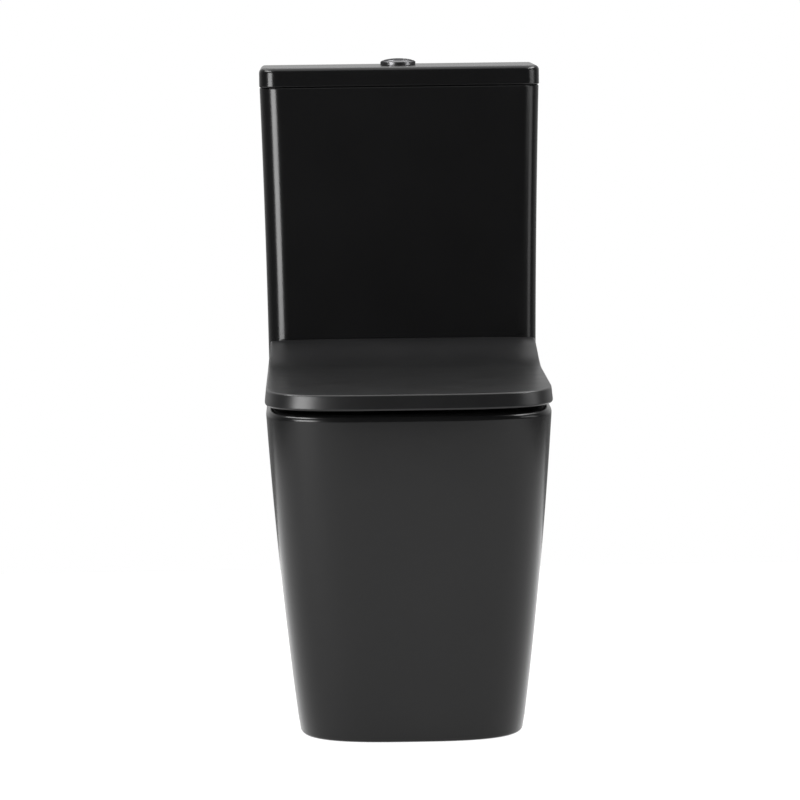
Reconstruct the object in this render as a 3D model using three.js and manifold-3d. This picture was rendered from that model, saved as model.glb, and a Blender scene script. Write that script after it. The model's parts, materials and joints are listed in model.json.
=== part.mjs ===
// Close coupled toilet: a back-to-wall pan, a wrap-over seat on a soft-close hinge, and a cistern with a
// dual flush valve and a bottom-fed fill valve. Millimetres, +Z up, the front faces -Y, X = 0 is the
// middle. The origin is on the floor, under the centre of the whole object.
import * as THREE from 'three';
import { mergeVertices } from 'three/addons/utils/BufferGeometryUtils.js';
import Module from 'manifold-3d';

const wasm = await Module();
wasm.setup();

// ------------------------------------------------------------------ driving dimensions
const DEPTH = 620; // front edge of the seat to the wall
const RIM_Z = 400; // height of the pan's rim and deck
const GAP = 0.3; // running and seating clearance
const FRONT_Y = -DEPTH / 2;
const WALL_Y = DEPTH / 2;

// pan shell
const FOOT_HALF_WIDTH = 135.3;
const RIM_HALF_WIDTH = 171;
const FOOT_FRONT_Y = FRONT_Y + 63;
const RIM_FRONT_Y = FRONT_Y + 3;
const SIDE_BOW = 0.36;
const FRONT_BOW = 0.258;
const SHELL = 12; // ceramic wall
const DECK = 22; // ceramic deck and rim
const DECK_UNDER_Z = RIM_Z - DECK;
const RIM_ROUND = 9;
const FOOT_ROUND = 4;

// bowl and trap
const BOWL_BACK_Y = 50;
const BOWL_FRONT_Y = RIM_FRONT_Y + 41;
const BOWL_HALF_WIDTH = RIM_HALF_WIDTH - 39;
const BOWL_BASE_Z = 66;
const BOWL_WALL = 11;
const TRAP_BORE = 36;
const TRAP_WALL = 9;
const OUTLET_Z = 180;
const OUTLET_END_Y = WALL_Y - 48;
const OUTLET_BORE = 45;
const OUTLET_WALL = 6;
const CHANNEL_HALF = 30; // flush channel from under the cistern to the rim
const CHANNEL_WALL = 9;
const FLUSH_BORE = 29;
const SERVICE_HALF = 105; // opening in the back of the shroud
const SERVICE_TOP_Z = 345;
const FIXING_HOLE = 6.5; // bolt holes in the deck and in the cistern floor
const INLET_ACCESS = 24; // hole in the deck under each cistern inlet

// side fixing of the pan
const SCREW_Y = 205;
const SCREW_Z = 60;
const SCREW_SEAT_X = 133;
const SCREW_RECESS = 10;

// seat
const SEAT_HALF_WIDTH = 172.2; // at its lower edge
const SEAT_DRAFT = 0.105; // how far the skirt leans in for each millimetre of height
const SEAT_BOTTOM_Z = RIM_Z + 4.6;
const SEAT_TOP_Z = RIM_Z + 23.5;
const SEAT_REAR_Y = 122;
const SEAT_RISE = 28.3; // the lid's rear edge above its flat
const SEAT_NOSE = 125;
const SEAT_POWER = 3.6;
const LID_WALL = 3.5;
const RING_BOTTOM_Z = RIM_Z + 6;
const RING_TOP_Z = RIM_Z + 18;
const HINGE_X = 77.5; // half the standard 155 mm hole spacing
const HINGE_Y = 96;
const HINGE_Z = 433;
const KNUCKLE = 6.5;
const PIN = 3.2;
const PIN_X = [50, 101]; // the right-hand pin's ends; the lid's knuckle and the ring's lie between them
const LID_KNUCKLE_X = [52, 65.6];
const RING_KNUCKLE_X = [87.8, 99];
const POST_HALF = 9.5;
const HINGE_BOLT = 4;
const BOLT_HEAD_Z = RIM_Z + 12;

// cistern
const CISTERN_FRONT_Y = 130;
const CISTERN_BOTTOM_Z = RIM_Z + 4;
const CISTERN_TOP_Z = 770;
const CISTERN_WALL = 9;
const CISTERN_FLOOR_Z = CISTERN_BOTTOM_Z + 10;
const CISTERN_MID_Y = (CISTERN_FRONT_Y + WALL_Y) / 2;
const CORNER = 27;
const LID_BOTTOM_Z = CISTERN_TOP_Z + 0.6;
const LID_TOP_Z = 794.7;
const LID_HALF_WIDTH = 177.5;
const LID_CORNER = 22;
const LID_ROUND = 6;
const LID_INSIDE_Z = LID_TOP_Z - 10.7;
const BOLT_X = 85;
const CISTERN_BOLT = 3.8;
const INLET_X = 125;
const INLET_HOLE = 11.5;
const LID_RIB = 6.5; // the lid's locating rib hangs this far into the cistern
const BUTTON_HOLE = 20;

// flush button
const BUTTON_TOP_Z = LID_TOP_Z + 8.9;
const DOME_RISE = 5.4; // the domed top is an ellipse, a little wider than the collar
const DOME_RADIUS = 22.8;
const BUTTON_RADIUS = 18;
const BUTTON_SPLIT_X = 8;
const COLLAR_RADIUS = 22.5;

// ------------------------------------------------------------------ materials
const finish = (color, roughness, metalness = 0) => () =>
  new THREE.MeshStandardMaterial({ color, roughness, metalness });
const blackCeramic = finish(0x1c1c1e, 0.35);
const blackPlastic = finish(0x1d1d1f, 0.4);
const chrome = finish(0xc8cacc, 0.12, 1);
const steel = finish(0x9a9da0, 0.35, 1);
const rubber = finish(0x141414, 0.85);
const whitePlastic = finish(0xe4e4e0, 0.5);
const bluePlastic = finish(0x2f5f9e, 0.5);
const greyPlastic = finish(0x8b8f92, 0.5);

// ------------------------------------------------------------------ geometry helpers
function signedVolume(geometry) {
  const position = geometry.attributes.position;
  const index = geometry.index.array;
  const [a, b, c] = [new THREE.Vector3(), new THREE.Vector3(), new THREE.Vector3()];
  let sum = 0;
  for (let i = 0; i < index.length; i += 3) {
    a.fromBufferAttribute(position, index[i]);
    b.fromBufferAttribute(position, index[i + 1]);
    c.fromBufferAttribute(position, index[i + 2]);
    sum += a.dot(b.cross(c)) / 6;
  }
  return sum;
}

// Merges shared vertices, drops collapsed triangles and turns the faces outwards.
function closed(geometry) {
  const bare = geometry.clone();
  bare.deleteAttribute('normal');
  bare.deleteAttribute('uv');
  const merged = mergeVertices(bare, 1e-3);
  const source = merged.index.array;
  const kept = [];
  for (let i = 0; i < source.length; i += 3) {
    const [a, b, c] = [source[i], source[i + 1], source[i + 2]];
    if (a !== b && b !== c && c !== a) kept.push(a, b, c);
  }
  merged.setIndex(kept);
  if (signedVolume(merged) < 0) merged.setIndex(kept.reverse());
  return merged;
}

function solid(geometry) {
  const mesh = closed(geometry);
  return new wasm.Manifold(new wasm.Mesh({
    numProp: 3,
    vertProperties: mesh.attributes.position.array,
    triVerts: Uint32Array.from(mesh.index.array),
  }));
}

function geometryOf(manifold) {
  const mesh = manifold.getMesh();
  const geometry = new THREE.BufferGeometry();
  geometry.setAttribute('position', new THREE.BufferAttribute(mesh.vertProperties, 3));
  geometry.setIndex(new THREE.BufferAttribute(mesh.triVerts, 1));
  return geometry;
}

const join = (...parts) => geometryOf(parts.map(solid).reduce((sum, part) => sum.add(part)));
const cut = (base, ...tools) =>
  geometryOf(tools.map(solid).reduce((rest, tool) => rest.subtract(tool), solid(base)));
const common = (one, other) => geometryOf(solid(one).intersect(solid(other)));

// Turned about the vertical axis; the profile's points are [radius, height].
function turned(profile, steps = 12) {
  const points = profile.map(([radius, height]) => new THREE.Vector2(radius, height));
  return new THREE.LatheGeometry(points, steps).rotateX(Math.PI / 2);
}

const rod = (radius, low, high, steps) =>
  turned([[0, low], [radius, low], [radius, high], [0, high]], steps);
const tube = (inner, outer, low, high, steps) =>
  turned([[inner, low], [outer, low], [outer, high], [inner, high], [inner, low]], steps);
const rodX = (radius, low, high, steps) => rod(radius, low, high, steps).rotateY(Math.PI / 2);
const rodY = (radius, low, high, steps) => rod(radius, -high, -low, steps).rotateX(Math.PI / 2);

function box([x0, x1], [y0, y1], [z0, z1]) {
  const geometry = new THREE.BoxGeometry(x1 - x0, y1 - y0, z1 - z0);
  return geometry.translate((x0 + x1) / 2, (y0 + y1) / 2, (z0 + z1) / 2);
}

// A closed skin through stacked outlines of equal point count, lowest first.
function loft(levels) {
  const count = levels[0].outline.length;
  const positions = [];
  const index = [];
  for (const { z, outline } of levels) {
    for (const [x, y] of outline) positions.push(x, y, z);
  }
  for (let level = 0; level < levels.length - 1; level += 1) {
    for (let i = 0; i < count; i += 1) {
      const next = (i + 1) % count;
      const [a, b] = [level * count + i, level * count + next];
      index.push(a, b, b + count, a, b + count, a + count);
    }
  }
  for (const [level, turn] of [[0, 1], [levels.length - 1, 0]]) {
    const { z, outline } = levels[level];
    const middle = positions.length / 3;
    const ys = outline.map(([, y]) => y);
    positions.push(0, (Math.min(...ys) + Math.max(...ys)) / 2, z);
    for (let i = 0; i < count; i += 1) {
      const [a, b] = [level * count + i, level * count + ((i + 1) % count)];
      index.push(middle, turn ? b : a, turn ? a : b);
    }
  }
  const geometry = new THREE.BufferGeometry();
  geometry.setAttribute('position', new THREE.Float32BufferAttribute(positions, 3));
  geometry.setIndex(index);
  return geometry;
}

const prism = (outline, low, high) => loft([{ z: low, outline }, { z: high, outline }]);

// A side profile, as [y, z] points, drawn out along X.
function sideways(profile, low, high) {
  const shape = new THREE.Shape(profile.map(([y, z]) => new THREE.Vector2(y, z)));
  const geometry = new THREE.ExtrudeGeometry(shape, { depth: high - low, bevelEnabled: false });
  const matrix = new THREE.Matrix4().makeBasis(
    new THREE.Vector3(0, 1, 0),
    new THREE.Vector3(0, 0, 1),
    new THREE.Vector3(1, 0, 0),
  );
  return geometry.applyMatrix4(matrix).translate(low, 0, 0);
}

// A round bar or bore along a smooth path in the plane X = 0, given as [y, z] points.
function sweep(path, radius, sides, steps) {
  const curve = new THREE.CatmullRomCurve3(path.map(([y, z]) => new THREE.Vector3(0, y, z)));
  const section = new THREE.Shape();
  for (let i = 0; i < sides; i += 1) {
    const angle = (i / sides) * 2 * Math.PI;
    const point = [radius * Math.cos(angle), radius * Math.sin(angle)];
    if (i === 0) section.moveTo(...point);
    else section.lineTo(...point);
  }
  section.closePath();
  return new THREE.ExtrudeGeometry(section, { steps, extrudePath: curve, bevelEnabled: false });
}

const rounded = (value, power) => Math.sign(value) * Math.abs(value) ** (2 / power);

// A D-shaped plan: a superellipse nose, straight sides and a flat back with rounded corners.
function dOutline({ halfWidth, frontY, nose, power, backY, corner }, noseSteps = 14, cornerSteps = 2) {
  const points = [];
  for (let i = 0; i <= noseSteps; i += 1) {
    const angle = Math.PI * (1 + i / noseSteps);
    points.push([
      halfWidth * rounded(Math.cos(angle), power),
      frontY + nose + nose * rounded(Math.sin(angle), power),
    ]);
  }
  for (const side of [1, -1]) {
    for (let i = 0; i <= cornerSteps; i += 1) {
      const angle = (Math.PI / 2) * (side > 0 ? i / cornerSteps : 1 - i / cornerSteps);
      points.push([
        side * (halfWidth - corner + corner * Math.cos(angle)),
        backY - corner + corner * Math.sin(angle),
      ]);
    }
  }
  return points;
}

// A rectangle with its own corner radius at the front and at the back.
function blockOutline({ halfWidth, frontY, backY, frontCorner, backCorner }, steps = 3) {
  const corners = [
    [halfWidth - frontCorner, frontY + frontCorner, frontCorner, -Math.PI / 2],
    [halfWidth - backCorner, backY - backCorner, backCorner, 0],
    [backCorner - halfWidth, backY - backCorner, backCorner, Math.PI / 2],
    [frontCorner - halfWidth, frontY + frontCorner, frontCorner, Math.PI],
  ];
  const points = [];
  for (const [x, y, radius, start] of corners) {
    for (let i = 0; i <= steps; i += 1) {
      const angle = start + (Math.PI / 2) * (i / steps);
      points.push([x + radius * Math.cos(angle), y + radius * Math.sin(angle)]);
    }
  }
  return points;
}

function eggOutline(halfWidth, frontY, backY, power, steps = 32) {
  const points = [];
  const middle = (frontY + backY) / 2;
  const halfLength = (backY - frontY) / 2;
  for (let i = 0; i < steps; i += 1) {
    const angle = (i / steps) * 2 * Math.PI;
    points.push([
      halfWidth * rounded(Math.cos(angle), power),
      middle + halfLength * rounded(Math.sin(angle), power),
    ]);
  }
  return points;
}

const mix = (from, to, amount) => from + (to - from) * amount;

function hexagon(acrossFlats) {
  const radius = acrossFlats / Math.sqrt(3);
  return [0, 1, 2, 3, 4, 5].map((i) => {
    const angle = (i * Math.PI) / 3;
    return [radius * Math.cos(angle), radius * Math.sin(angle)];
  });
}

const hexNut = (acrossFlats, bore, low, high, steps) =>
  cut(prism(hexagon(acrossFlats), low, high), rod(bore, low - 1, high + 1, steps));

// ------------------------------------------------------------------ assembly
const toilet = new THREE.Group();
toilet.name = 'close_coupled_toilet';

function place(name, geometry, material, [x, y, z] = [0, 0, 0]) {
  const mesh = new THREE.Mesh(closed(geometry), material());
  mesh.name = name;
  mesh.position.set(x, y, z);
  toilet.add(mesh);
  return mesh;
}

const SIDES = [['left', -1], ['right', 1]];

// ------------------------------------------------------------------ pan
// How far the shell has flared out from foot to rim at height z, from 0 to 1, along a bowed line.
function flare(z, bow) {
  const t = z / RIM_Z;
  return t * (1 + bow - bow * t);
}

const panHalfWidth = (z) => mix(FOOT_HALF_WIDTH, RIM_HALF_WIDTH, flare(z, SIDE_BOW));

function panOutline(z, inset) {
  return dOutline({
    halfWidth: panHalfWidth(z) - inset,
    frontY: mix(FOOT_FRONT_Y, RIM_FRONT_Y, flare(z, FRONT_BOW)) + inset,
    nose: mix(115, 125, z / RIM_Z) - inset,
    power: mix(3, 3.5, z / RIM_Z),
    backY: WALL_Y - inset,
    corner: 5,
  });
}

function panShell() {
  const levels = [{ z: 0, outline: panOutline(0, FOOT_ROUND) }];
  for (const z of [FOOT_ROUND, 130, 260]) levels.push({ z, outline: panOutline(z, 0) });
  for (const turn of [0, 0.5, 1]) {
    const angle = (turn * Math.PI) / 2;
    const z = RIM_Z - RIM_ROUND * (1 - Math.sin(angle));
    levels.push({ z, outline: panOutline(z, RIM_ROUND * (1 - Math.cos(angle))) });
  }
  return loft(levels);
}

function panCavity() {
  return loft([-1, 130, 260, DECK_UNDER_Z].map((z) => ({ z, outline: panOutline(z, SHELL) })));
}

// The bowl's inside at five depths, as a share of the fall from rim to base.
const BOWL_SECTIONS = [
  { fall: 1, halfWidth: 38, frontY: -66, backY: 12 },
  { fall: 0.84, halfWidth: 44, frontY: -84, backY: 16 },
  { fall: 0.64, halfWidth: 62, frontY: -142, backY: 22 },
  { fall: 0.46, halfWidth: 88, frontY: -198, backY: 30 },
  { fall: 0.28, halfWidth: 114, frontY: -242, backY: 40 },
  { fall: 0.12, halfWidth: 128, frontY: -263, backY: 47 },
  { fall: 0, halfWidth: BOWL_HALF_WIDTH, frontY: BOWL_FRONT_Y, backY: BOWL_BACK_Y },
];

function bowl(grow, baseDrop, topRise) {
  const last = BOWL_SECTIONS.length - 1;
  return loft(BOWL_SECTIONS.map(({ fall, halfWidth, frontY, backY }, i) => {
    const drop = i === 0 ? baseDrop : 0;
    const rise = i === last ? topRise : 0;
    return {
      z: mix(RIM_Z, BOWL_BASE_Z, fall) - drop + rise,
      outline: eggOutline(halfWidth + grow, frontY - grow, backY + grow, mix(2.7, 2.1, fall), 20),
    };
  }));
}

// The trap runs back from the sump, up over the weir and down to the outlet.
const TRAP_PATH = [
  [-32, 102], [14, 102], [62, 124], [98, 172], [134, 219], [172, 226], [206, 204], [232, OUTLET_Z + 2],
];

function pan() {
  const channelEndY = CISTERN_MID_Y + CHANNEL_HALF;
  const channelTopZ = DECK_UNDER_Z - 8;
  const channelFloorZ = channelTopZ - 35;
  const channelUnderZ = channelFloorZ - CHANNEL_WALL;
  const outside = CHANNEL_HALF + CHANNEL_WALL;
  const gasketRecess = 57.5;
  const service = box([-SERVICE_HALF, SERVICE_HALF], [WALL_Y - 32, WALL_Y + 10], [-1, SERVICE_TOP_Z]);
  const body = [
    cut(panShell(), panCavity(), service),
    bowl(BOWL_WALL, BOWL_WALL, -2),
    sweep(TRAP_PATH, TRAP_BORE + TRAP_WALL, 12, 11),
    rodY(OUTLET_BORE + OUTLET_WALL, 224, OUTLET_END_Y, 20).translate(0, 0, OUTLET_Z),
    box([-outside, outside], [BOWL_BACK_Y, channelEndY + 12], [channelUnderZ, DECK_UNDER_Z + 1]),
  ];
  const voids = [
    bowl(0, 0, 1),
    sweep(TRAP_PATH, TRAP_BORE, 12, 11),
    rodY(OUTLET_BORE, 229, OUTLET_END_Y + 1, 20).translate(0, 0, OUTLET_Z),
    box([-CHANNEL_HALF, CHANNEL_HALF], [BOWL_BACK_Y - 20, channelEndY], [channelFloorZ, channelTopZ]),
    rod(FLUSH_BORE, 350, RIM_Z + 1, 16).translate(0, CISTERN_MID_Y, 0),
    rod(gasketRecess, RIM_Z - 16, RIM_Z + 1, 24).translate(0, CISTERN_MID_Y, 0),
  ];
  for (const [, side] of SIDES) {
    const deckHole = (radius, x, y, steps) =>
      rod(radius, DECK_UNDER_Z - 1, RIM_Z + 1, steps).translate(side * x, y, 0);
    voids.push(deckHole(FIXING_HOLE, HINGE_X, HINGE_Y, 8));
    voids.push(deckHole(FIXING_HOLE, BOLT_X, CISTERN_MID_Y, 8));
    voids.push(deckHole(INLET_ACCESS, INLET_X, CISTERN_MID_Y, 12));
    for (const [radius, from] of [[4.5, 110], [SCREW_RECESS, SCREW_SEAT_X]]) {
      const [low, high] = side > 0 ? [from, 160] : [-160, -from];
      voids.push(rodX(radius, low, high, 12).translate(0, SCREW_Y, SCREW_Z));
    }
  }
  return cut(join(...body), ...voids);
}

place('pan', pan(), blackCeramic);

// ------------------------------------------------------------------ floor fixing
// An inner bracket, a screw and a cover cap on each side.
for (const [hand, side] of SIDES) {
  const bracket = cut(
    join(box([78, 119], [185, 225], [0, 6]), box([112, 119], [185, 225], [5, 86])),
    rod(3.5, -1, 8, 10).translate(92, SCREW_Y, 0),
    rodX(PIN + GAP, 100, 125, 10).translate(0, SCREW_Y, SCREW_Z),
  );
  const turn = side > 0 ? 0 : Math.PI;
  const mirrorY = (geometry) => geometry.translate(0, -SCREW_Y, 0).rotateZ(turn).translate(0, SCREW_Y, 0);
  place(`floor_bracket_${hand}`, mirrorY(bracket), whitePlastic);
  const head = SCREW_SEAT_X + GAP;
  const screw = join(
    rodX(3, 98, head + 0.5, 10),
    rodX(7, head, head + 3, 12),
  ).translate(0, SCREW_Y, SCREW_Z);
  place(`side_screw_${hand}`, mirrorY(screw), steel);
  const cap = rodX(SCREW_RECESS - 0.6, head + 3 + GAP, panHalfWidth(SCREW_Z) + 1.2, 12);
  place(`screw_cap_${hand}`, mirrorY(cap.translate(0, SCREW_Y, SCREW_Z)), blackPlastic);
}

// ------------------------------------------------------------------ cistern
// Half width at height z: nearly straight at the bottom and slightly flared to the top.
function cisternHalfWidth(z) {
  const s = (z - CISTERN_BOTTOM_Z) / (CISTERN_TOP_Z - CISTERN_BOTTOM_Z);
  return 170.2 + 3 * s + 4 * s * s;
}

function cisternOutline(z, inset, corner = CORNER) {
  return blockOutline({
    halfWidth: cisternHalfWidth(z) - inset,
    frontY: CISTERN_FRONT_Y + inset,
    backY: WALL_Y - inset,
    frontCorner: Math.max(corner - inset, 8),
    backCorner: 8,
  });
}

function cistern() {
  const levels = [];
  const [roundHeight, roundDepth] = [24, 14];
  for (const turn of [0, 0.3, 0.55, 0.8, 1]) {
    const angle = (turn * Math.PI) / 2;
    const z = CISTERN_BOTTOM_Z + roundHeight * (1 - Math.cos(angle));
    const outline = cisternOutline(z, roundDepth * (1 - Math.sin(angle)));
    levels.push({ z, outline });
  }
  for (const z of [540, 650, CISTERN_TOP_Z]) levels.push({ z, outline: cisternOutline(z, 0) });
  const inside = [CISTERN_FLOOR_Z, CISTERN_FLOOR_Z + 16, 540, 650, CISTERN_TOP_Z + 1].map((z, i) => ({
    z,
    outline: cisternOutline(z, CISTERN_WALL + (i === 0 ? 9 : 0)),
  }));
  const drill = (radius, x, steps) =>
    rod(radius, CISTERN_BOTTOM_Z - 1, CISTERN_FLOOR_Z + 1, steps).translate(x, CISTERN_MID_Y, 0);
  const holes = [drill(30.5, 0, 20)];
  for (const [, side] of SIDES) {
    holes.push(drill(FIXING_HOLE, side * BOLT_X, 8), drill(INLET_HOLE, side * INLET_X, 12));
  }
  return cut(loft(levels), loft(inside), ...holes);
}

place('cistern', cistern(), blackCeramic);

function lidOutline(inset) {
  return blockOutline({
    halfWidth: LID_HALF_WIDTH - inset,
    frontY: CISTERN_FRONT_Y - 0.6 + inset,
    backY: WALL_Y - inset,
    frontCorner: Math.max(LID_CORNER - inset, 6),
    backCorner: Math.max(8 - inset, 3),
  });
}

function cisternLid() {
  const levels = [
    { z: LID_BOTTOM_Z, outline: lidOutline(1.6) },
    { z: LID_BOTTOM_Z + 1.6, outline: lidOutline(0) },
  ];
  for (const turn of [0, 0.35, 0.7, 1]) {
    const angle = (turn * Math.PI) / 2;
    const z = LID_TOP_Z - LID_ROUND * (1 - Math.sin(angle));
    levels.push({ z, outline: lidOutline(LID_ROUND * (1 - Math.cos(angle))) });
  }
  return cut(
    join(loft(levels), prism(cisternOutline(CISTERN_TOP_Z, 12), LID_BOTTOM_Z - LID_RIB, LID_INSIDE_Z)),
    prism(cisternOutline(CISTERN_TOP_Z, 17), LID_BOTTOM_Z - LID_RIB - 1, LID_INSIDE_Z),
    rod(BUTTON_HOLE, LID_INSIDE_Z - 1, LID_TOP_Z + 1, 24).translate(0, CISTERN_MID_Y, 0),
  );
}

place('cistern_lid', cisternLid(), blackCeramic);

// ------------------------------------------------------------------ seat lid
const smooth = (t) => t * t * (3 - 2 * t);

// Height of the lid's top at depth y: flat at the front, an S-shaped rise at the back.
function lidTopZ(y) {
  const t = Math.min(Math.max(y / SEAT_REAR_Y, 0), 1);
  return SEAT_TOP_Z + SEAT_RISE * smooth(t ** 1.5);
}

function seatOutline(inset, backY, corner) {
  return dOutline({
    halfWidth: SEAT_HALF_WIDTH - inset,
    frontY: FRONT_Y + inset,
    nose: SEAT_NOSE - inset,
    power: SEAT_POWER,
    backY,
    corner,
  }, 18);
}

// The lid's section along Y; drop lowers its top to make the inside.
function lidTopPoints(drop, rearY) {
  const points = [];
  for (let i = 12; i >= 0; i -= 1) points.push([(rearY * i) / 12, lidTopZ((rearY * i) / 12) - drop]);
  points.push([FRONT_Y - 5, SEAT_TOP_Z - drop]);
  return points;
}

// The skirt's plan drawn up from its lower edge, leaning inwards.
function seatBlock(inset, backY, low) {
  const top = SEAT_TOP_Z + SEAT_RISE + 8;
  return loft([low, top].map((z) => ({
    z,
    outline: seatOutline(inset + SEAT_DRAFT * (z - SEAT_BOTTOM_Z), backY, 3),
  })));
}

function seatLid() {
  const swing = HINGE_Z - RIM_Z - 1.5; // the rear lower edge clears the deck as the lid turns
  const low = SEAT_BOTTOM_Z - HINGE_Z;
  const rear = SEAT_REAR_Y - HINGE_Y;
  const start = Math.atan2(low, Math.sqrt(swing * swing - low * low));
  const end = Math.atan2(-Math.sqrt(swing * swing - rear * rear), rear);
  const outer = [[FRONT_Y - 5, SEAT_BOTTOM_Z]];
  for (let i = 0; i <= 3; i += 1) {
    const angle = mix(start, end, i / 3);
    outer.push([HINGE_Y + swing * Math.cos(angle), HINGE_Z + swing * Math.sin(angle)]);
  }
  outer.push(...lidTopPoints(0, SEAT_REAR_Y));
  const lipZ = HINGE_Z + 10;
  const insideRear = SEAT_REAR_Y - LID_WALL;
  const inner = [[FRONT_Y - 5, RIM_Z], [SEAT_REAR_Y + 5, RIM_Z], [SEAT_REAR_Y + 5, lipZ], [insideRear, lipZ]];
  inner.push(...lidTopPoints(LID_WALL, insideRear));
  const shell = cut(
    common(seatBlock(0, SEAT_REAR_Y, RIM_Z), sideways(outer, -180, 180)),
    common(seatBlock(LID_WALL, SEAT_REAR_Y + 9, RIM_Z - 1), sideways(inner, -180, 180)),
  );
  const knuckles = [];
  const bores = [];
  for (const [, side] of SIDES) {
    const [low, high] = side > 0 ? LID_KNUCKLE_X : LID_KNUCKLE_X.map((x) => -x).reverse();
    knuckles.push(rodX(KNUCKLE, low, high, 12).translate(0, HINGE_Y, HINGE_Z));
    knuckles.push(box([low, high], [HINGE_Y - 4, HINGE_Y + 6], [HINGE_Z, HINGE_Z + 8.5]));
    bores.push(rodX(PIN + GAP, low - 1, high + 1, 10).translate(0, HINGE_Y, HINGE_Z));
  }
  return cut(join(shell, ...knuckles), ...bores);
}

place('seat_lid', seatLid(), blackPlastic);
for (const [hand, side] of SIDES) {
  const buffer = rod(6, RING_TOP_Z + GAP, SEAT_TOP_Z - LID_WALL - GAP, 12);
  place(`lid_buffer_${hand}`, buffer, rubber, [side * 140, -150, 0]);
}

// ------------------------------------------------------------------ seat ring
function seatRing() {
  const outline = dOutline({
    halfWidth: SEAT_HALF_WIDTH - LID_WALL - 3.7,
    frontY: FRONT_Y + LID_WALL + 3.5,
    nose: SEAT_NOSE - 6,
    power: SEAT_POWER,
    backY: 78,
    corner: 20,
  }, 14);
  const edge = 2.5;
  const shrink = (points, amount) => points.map(([x, y]) => {
    const length = Math.hypot(x, y + 115);
    return [x * (1 - amount / length), (y + 115) * (1 - amount / length) - 115];
  });
  const plate = loft([
    { z: RING_BOTTOM_Z, outline },
    { z: RING_TOP_Z - edge, outline },
    { z: RING_TOP_Z, outline: shrink(outline, edge) },
  ]);
  const hole = eggOutline(112, -253, 26, 2.4, 22);
  const opening = loft([
    { z: RING_BOTTOM_Z - 1, outline: hole },
    { z: RING_TOP_Z - edge - 1, outline: hole },
    { z: RING_TOP_Z + 1, outline: shrink(hole, -edge - 1.5) },
  ]);
  // the arms rise from the plate's back edge to the hinge
  const armProfile = [[52, 407], [80, 407], [100.5, 428.5], [91.5, 437.6], [78, 428], [66, 417]];
  const arms = [];
  const bores = [];
  for (const [, side] of SIDES) {
    const [low, high] = side > 0 ? RING_KNUCKLE_X : RING_KNUCKLE_X.map((x) => -x).reverse();
    arms.push(sideways(armProfile, low, high));
    arms.push(rodX(KNUCKLE, low, high, 12).translate(0, HINGE_Y, HINGE_Z));
    bores.push(rodX(PIN + GAP, low - 1, high + 1, 10).translate(0, HINGE_Y, HINGE_Z));
  }
  return cut(join(plate, ...arms), opening, ...bores);
}

place('seat_ring', seatRing(), blackPlastic);
for (const [end, y] of [['front', -170], ['rear', 30]]) {
  for (const [hand, side] of SIDES) {
    const buffer = rod(7, RIM_Z + GAP, RING_BOTTOM_Z - GAP, 12);
    place(`ring_buffer_${end}_${hand}`, buffer, rubber, [side * 150, y, 0]);
  }
}

// ------------------------------------------------------------------ hinges
for (const [hand, side] of SIDES) {
  const base = RIM_Z + GAP;
  const post = cut(
    join(
      rod(16, base, base + 3.7, 16),
      box([-POST_HALF, POST_HALF], [-KNUCKLE, KNUCKLE], [base + 3, HINGE_Z]),
      rodX(KNUCKLE, -POST_HALF, POST_HALF, 12).translate(0, 0, HINGE_Z),
    ),
    rod(HINGE_BOLT + 0.5, base - 1, BOLT_HEAD_Z, 10),
    rodX(PIN + GAP, -POST_HALF - 1, POST_HALF + 1, 10).translate(0, 0, HINGE_Z),
  );
  place(`hinge_post_${hand}`, post, chrome, [side * HINGE_X, HINGE_Y, 0]);
  const [low, high] = side > 0 ? PIN_X : PIN_X.map((x) => -x).reverse();
  place(`hinge_pin_${hand}`, rodX(PIN, low, high, 10), steel, [0, HINGE_Y, HINGE_Z]);
  const at = [side * HINGE_X, HINGE_Y, 0];
  const bore = HINGE_BOLT + 0.6;
  place(`hinge_bolt_${hand}`, rod(HINGE_BOLT, 340, BOLT_HEAD_Z - GAP, 10), steel, at);
  const washerTop = DECK_UNDER_Z - GAP;
  const washerLow = washerTop - 3;
  place(`hinge_washer_${hand}`, tube(bore, 14, washerLow, washerTop, 12), rubber, at);
  const nutTop = washerLow - GAP;
  const nut = join(
    tube(bore, 9, nutTop - 12, nutTop, 10),
    box([6, 20], [-1.5, 1.5], [nutTop - 14, nutTop - 3]),
    box([-20, -6], [-1.5, 1.5], [nutTop - 14, nutTop - 3]),
  );
  place(`hinge_wing_nut_${hand}`, nut, whitePlastic, at);
}

// ------------------------------------------------------------------ cistern fixing
for (const [hand, side] of SIDES) {
  const at = [side * BOLT_X, CISTERN_MID_Y, 0];
  const sealTop = CISTERN_FLOOR_Z + 4 + GAP;
  const bore = CISTERN_BOLT + 0.6;
  place(`bolt_seal_${hand}`, tube(bore, 13, CISTERN_FLOOR_Z + GAP, sealTop, 12), rubber, at);
  const bolt = join(rod(CISTERN_BOLT, 345, sealTop + 1, 10), rod(10.5, sealTop + GAP, sealTop + 6, 12));
  place(`cistern_bolt_${hand}`, bolt, steel, at);
  place(`bolt_pad_${hand}`, tube(bore, 16, RIM_Z + GAP, CISTERN_BOTTOM_Z - GAP, 12), rubber, at);
  const nutTop = DECK_UNDER_Z - GAP;
  const nut = join(
    turned([[bore, nutTop - 13], [7.5, nutTop - 13], [7.5, nutTop - 3], [12, nutTop - 2], [12, nutTop],
      [bore, nutTop], [bore, nutTop - 13]], 10),
    box([5.5, 17], [-1.5, 1.5], [nutTop - 17, nutTop - 5]),
    box([-17, -5.5], [-1.5, 1.5], [nutTop - 17, nutTop - 5]),
  );
  place(`bolt_wing_nut_${hand}`, nut, steel, at);
}

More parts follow.
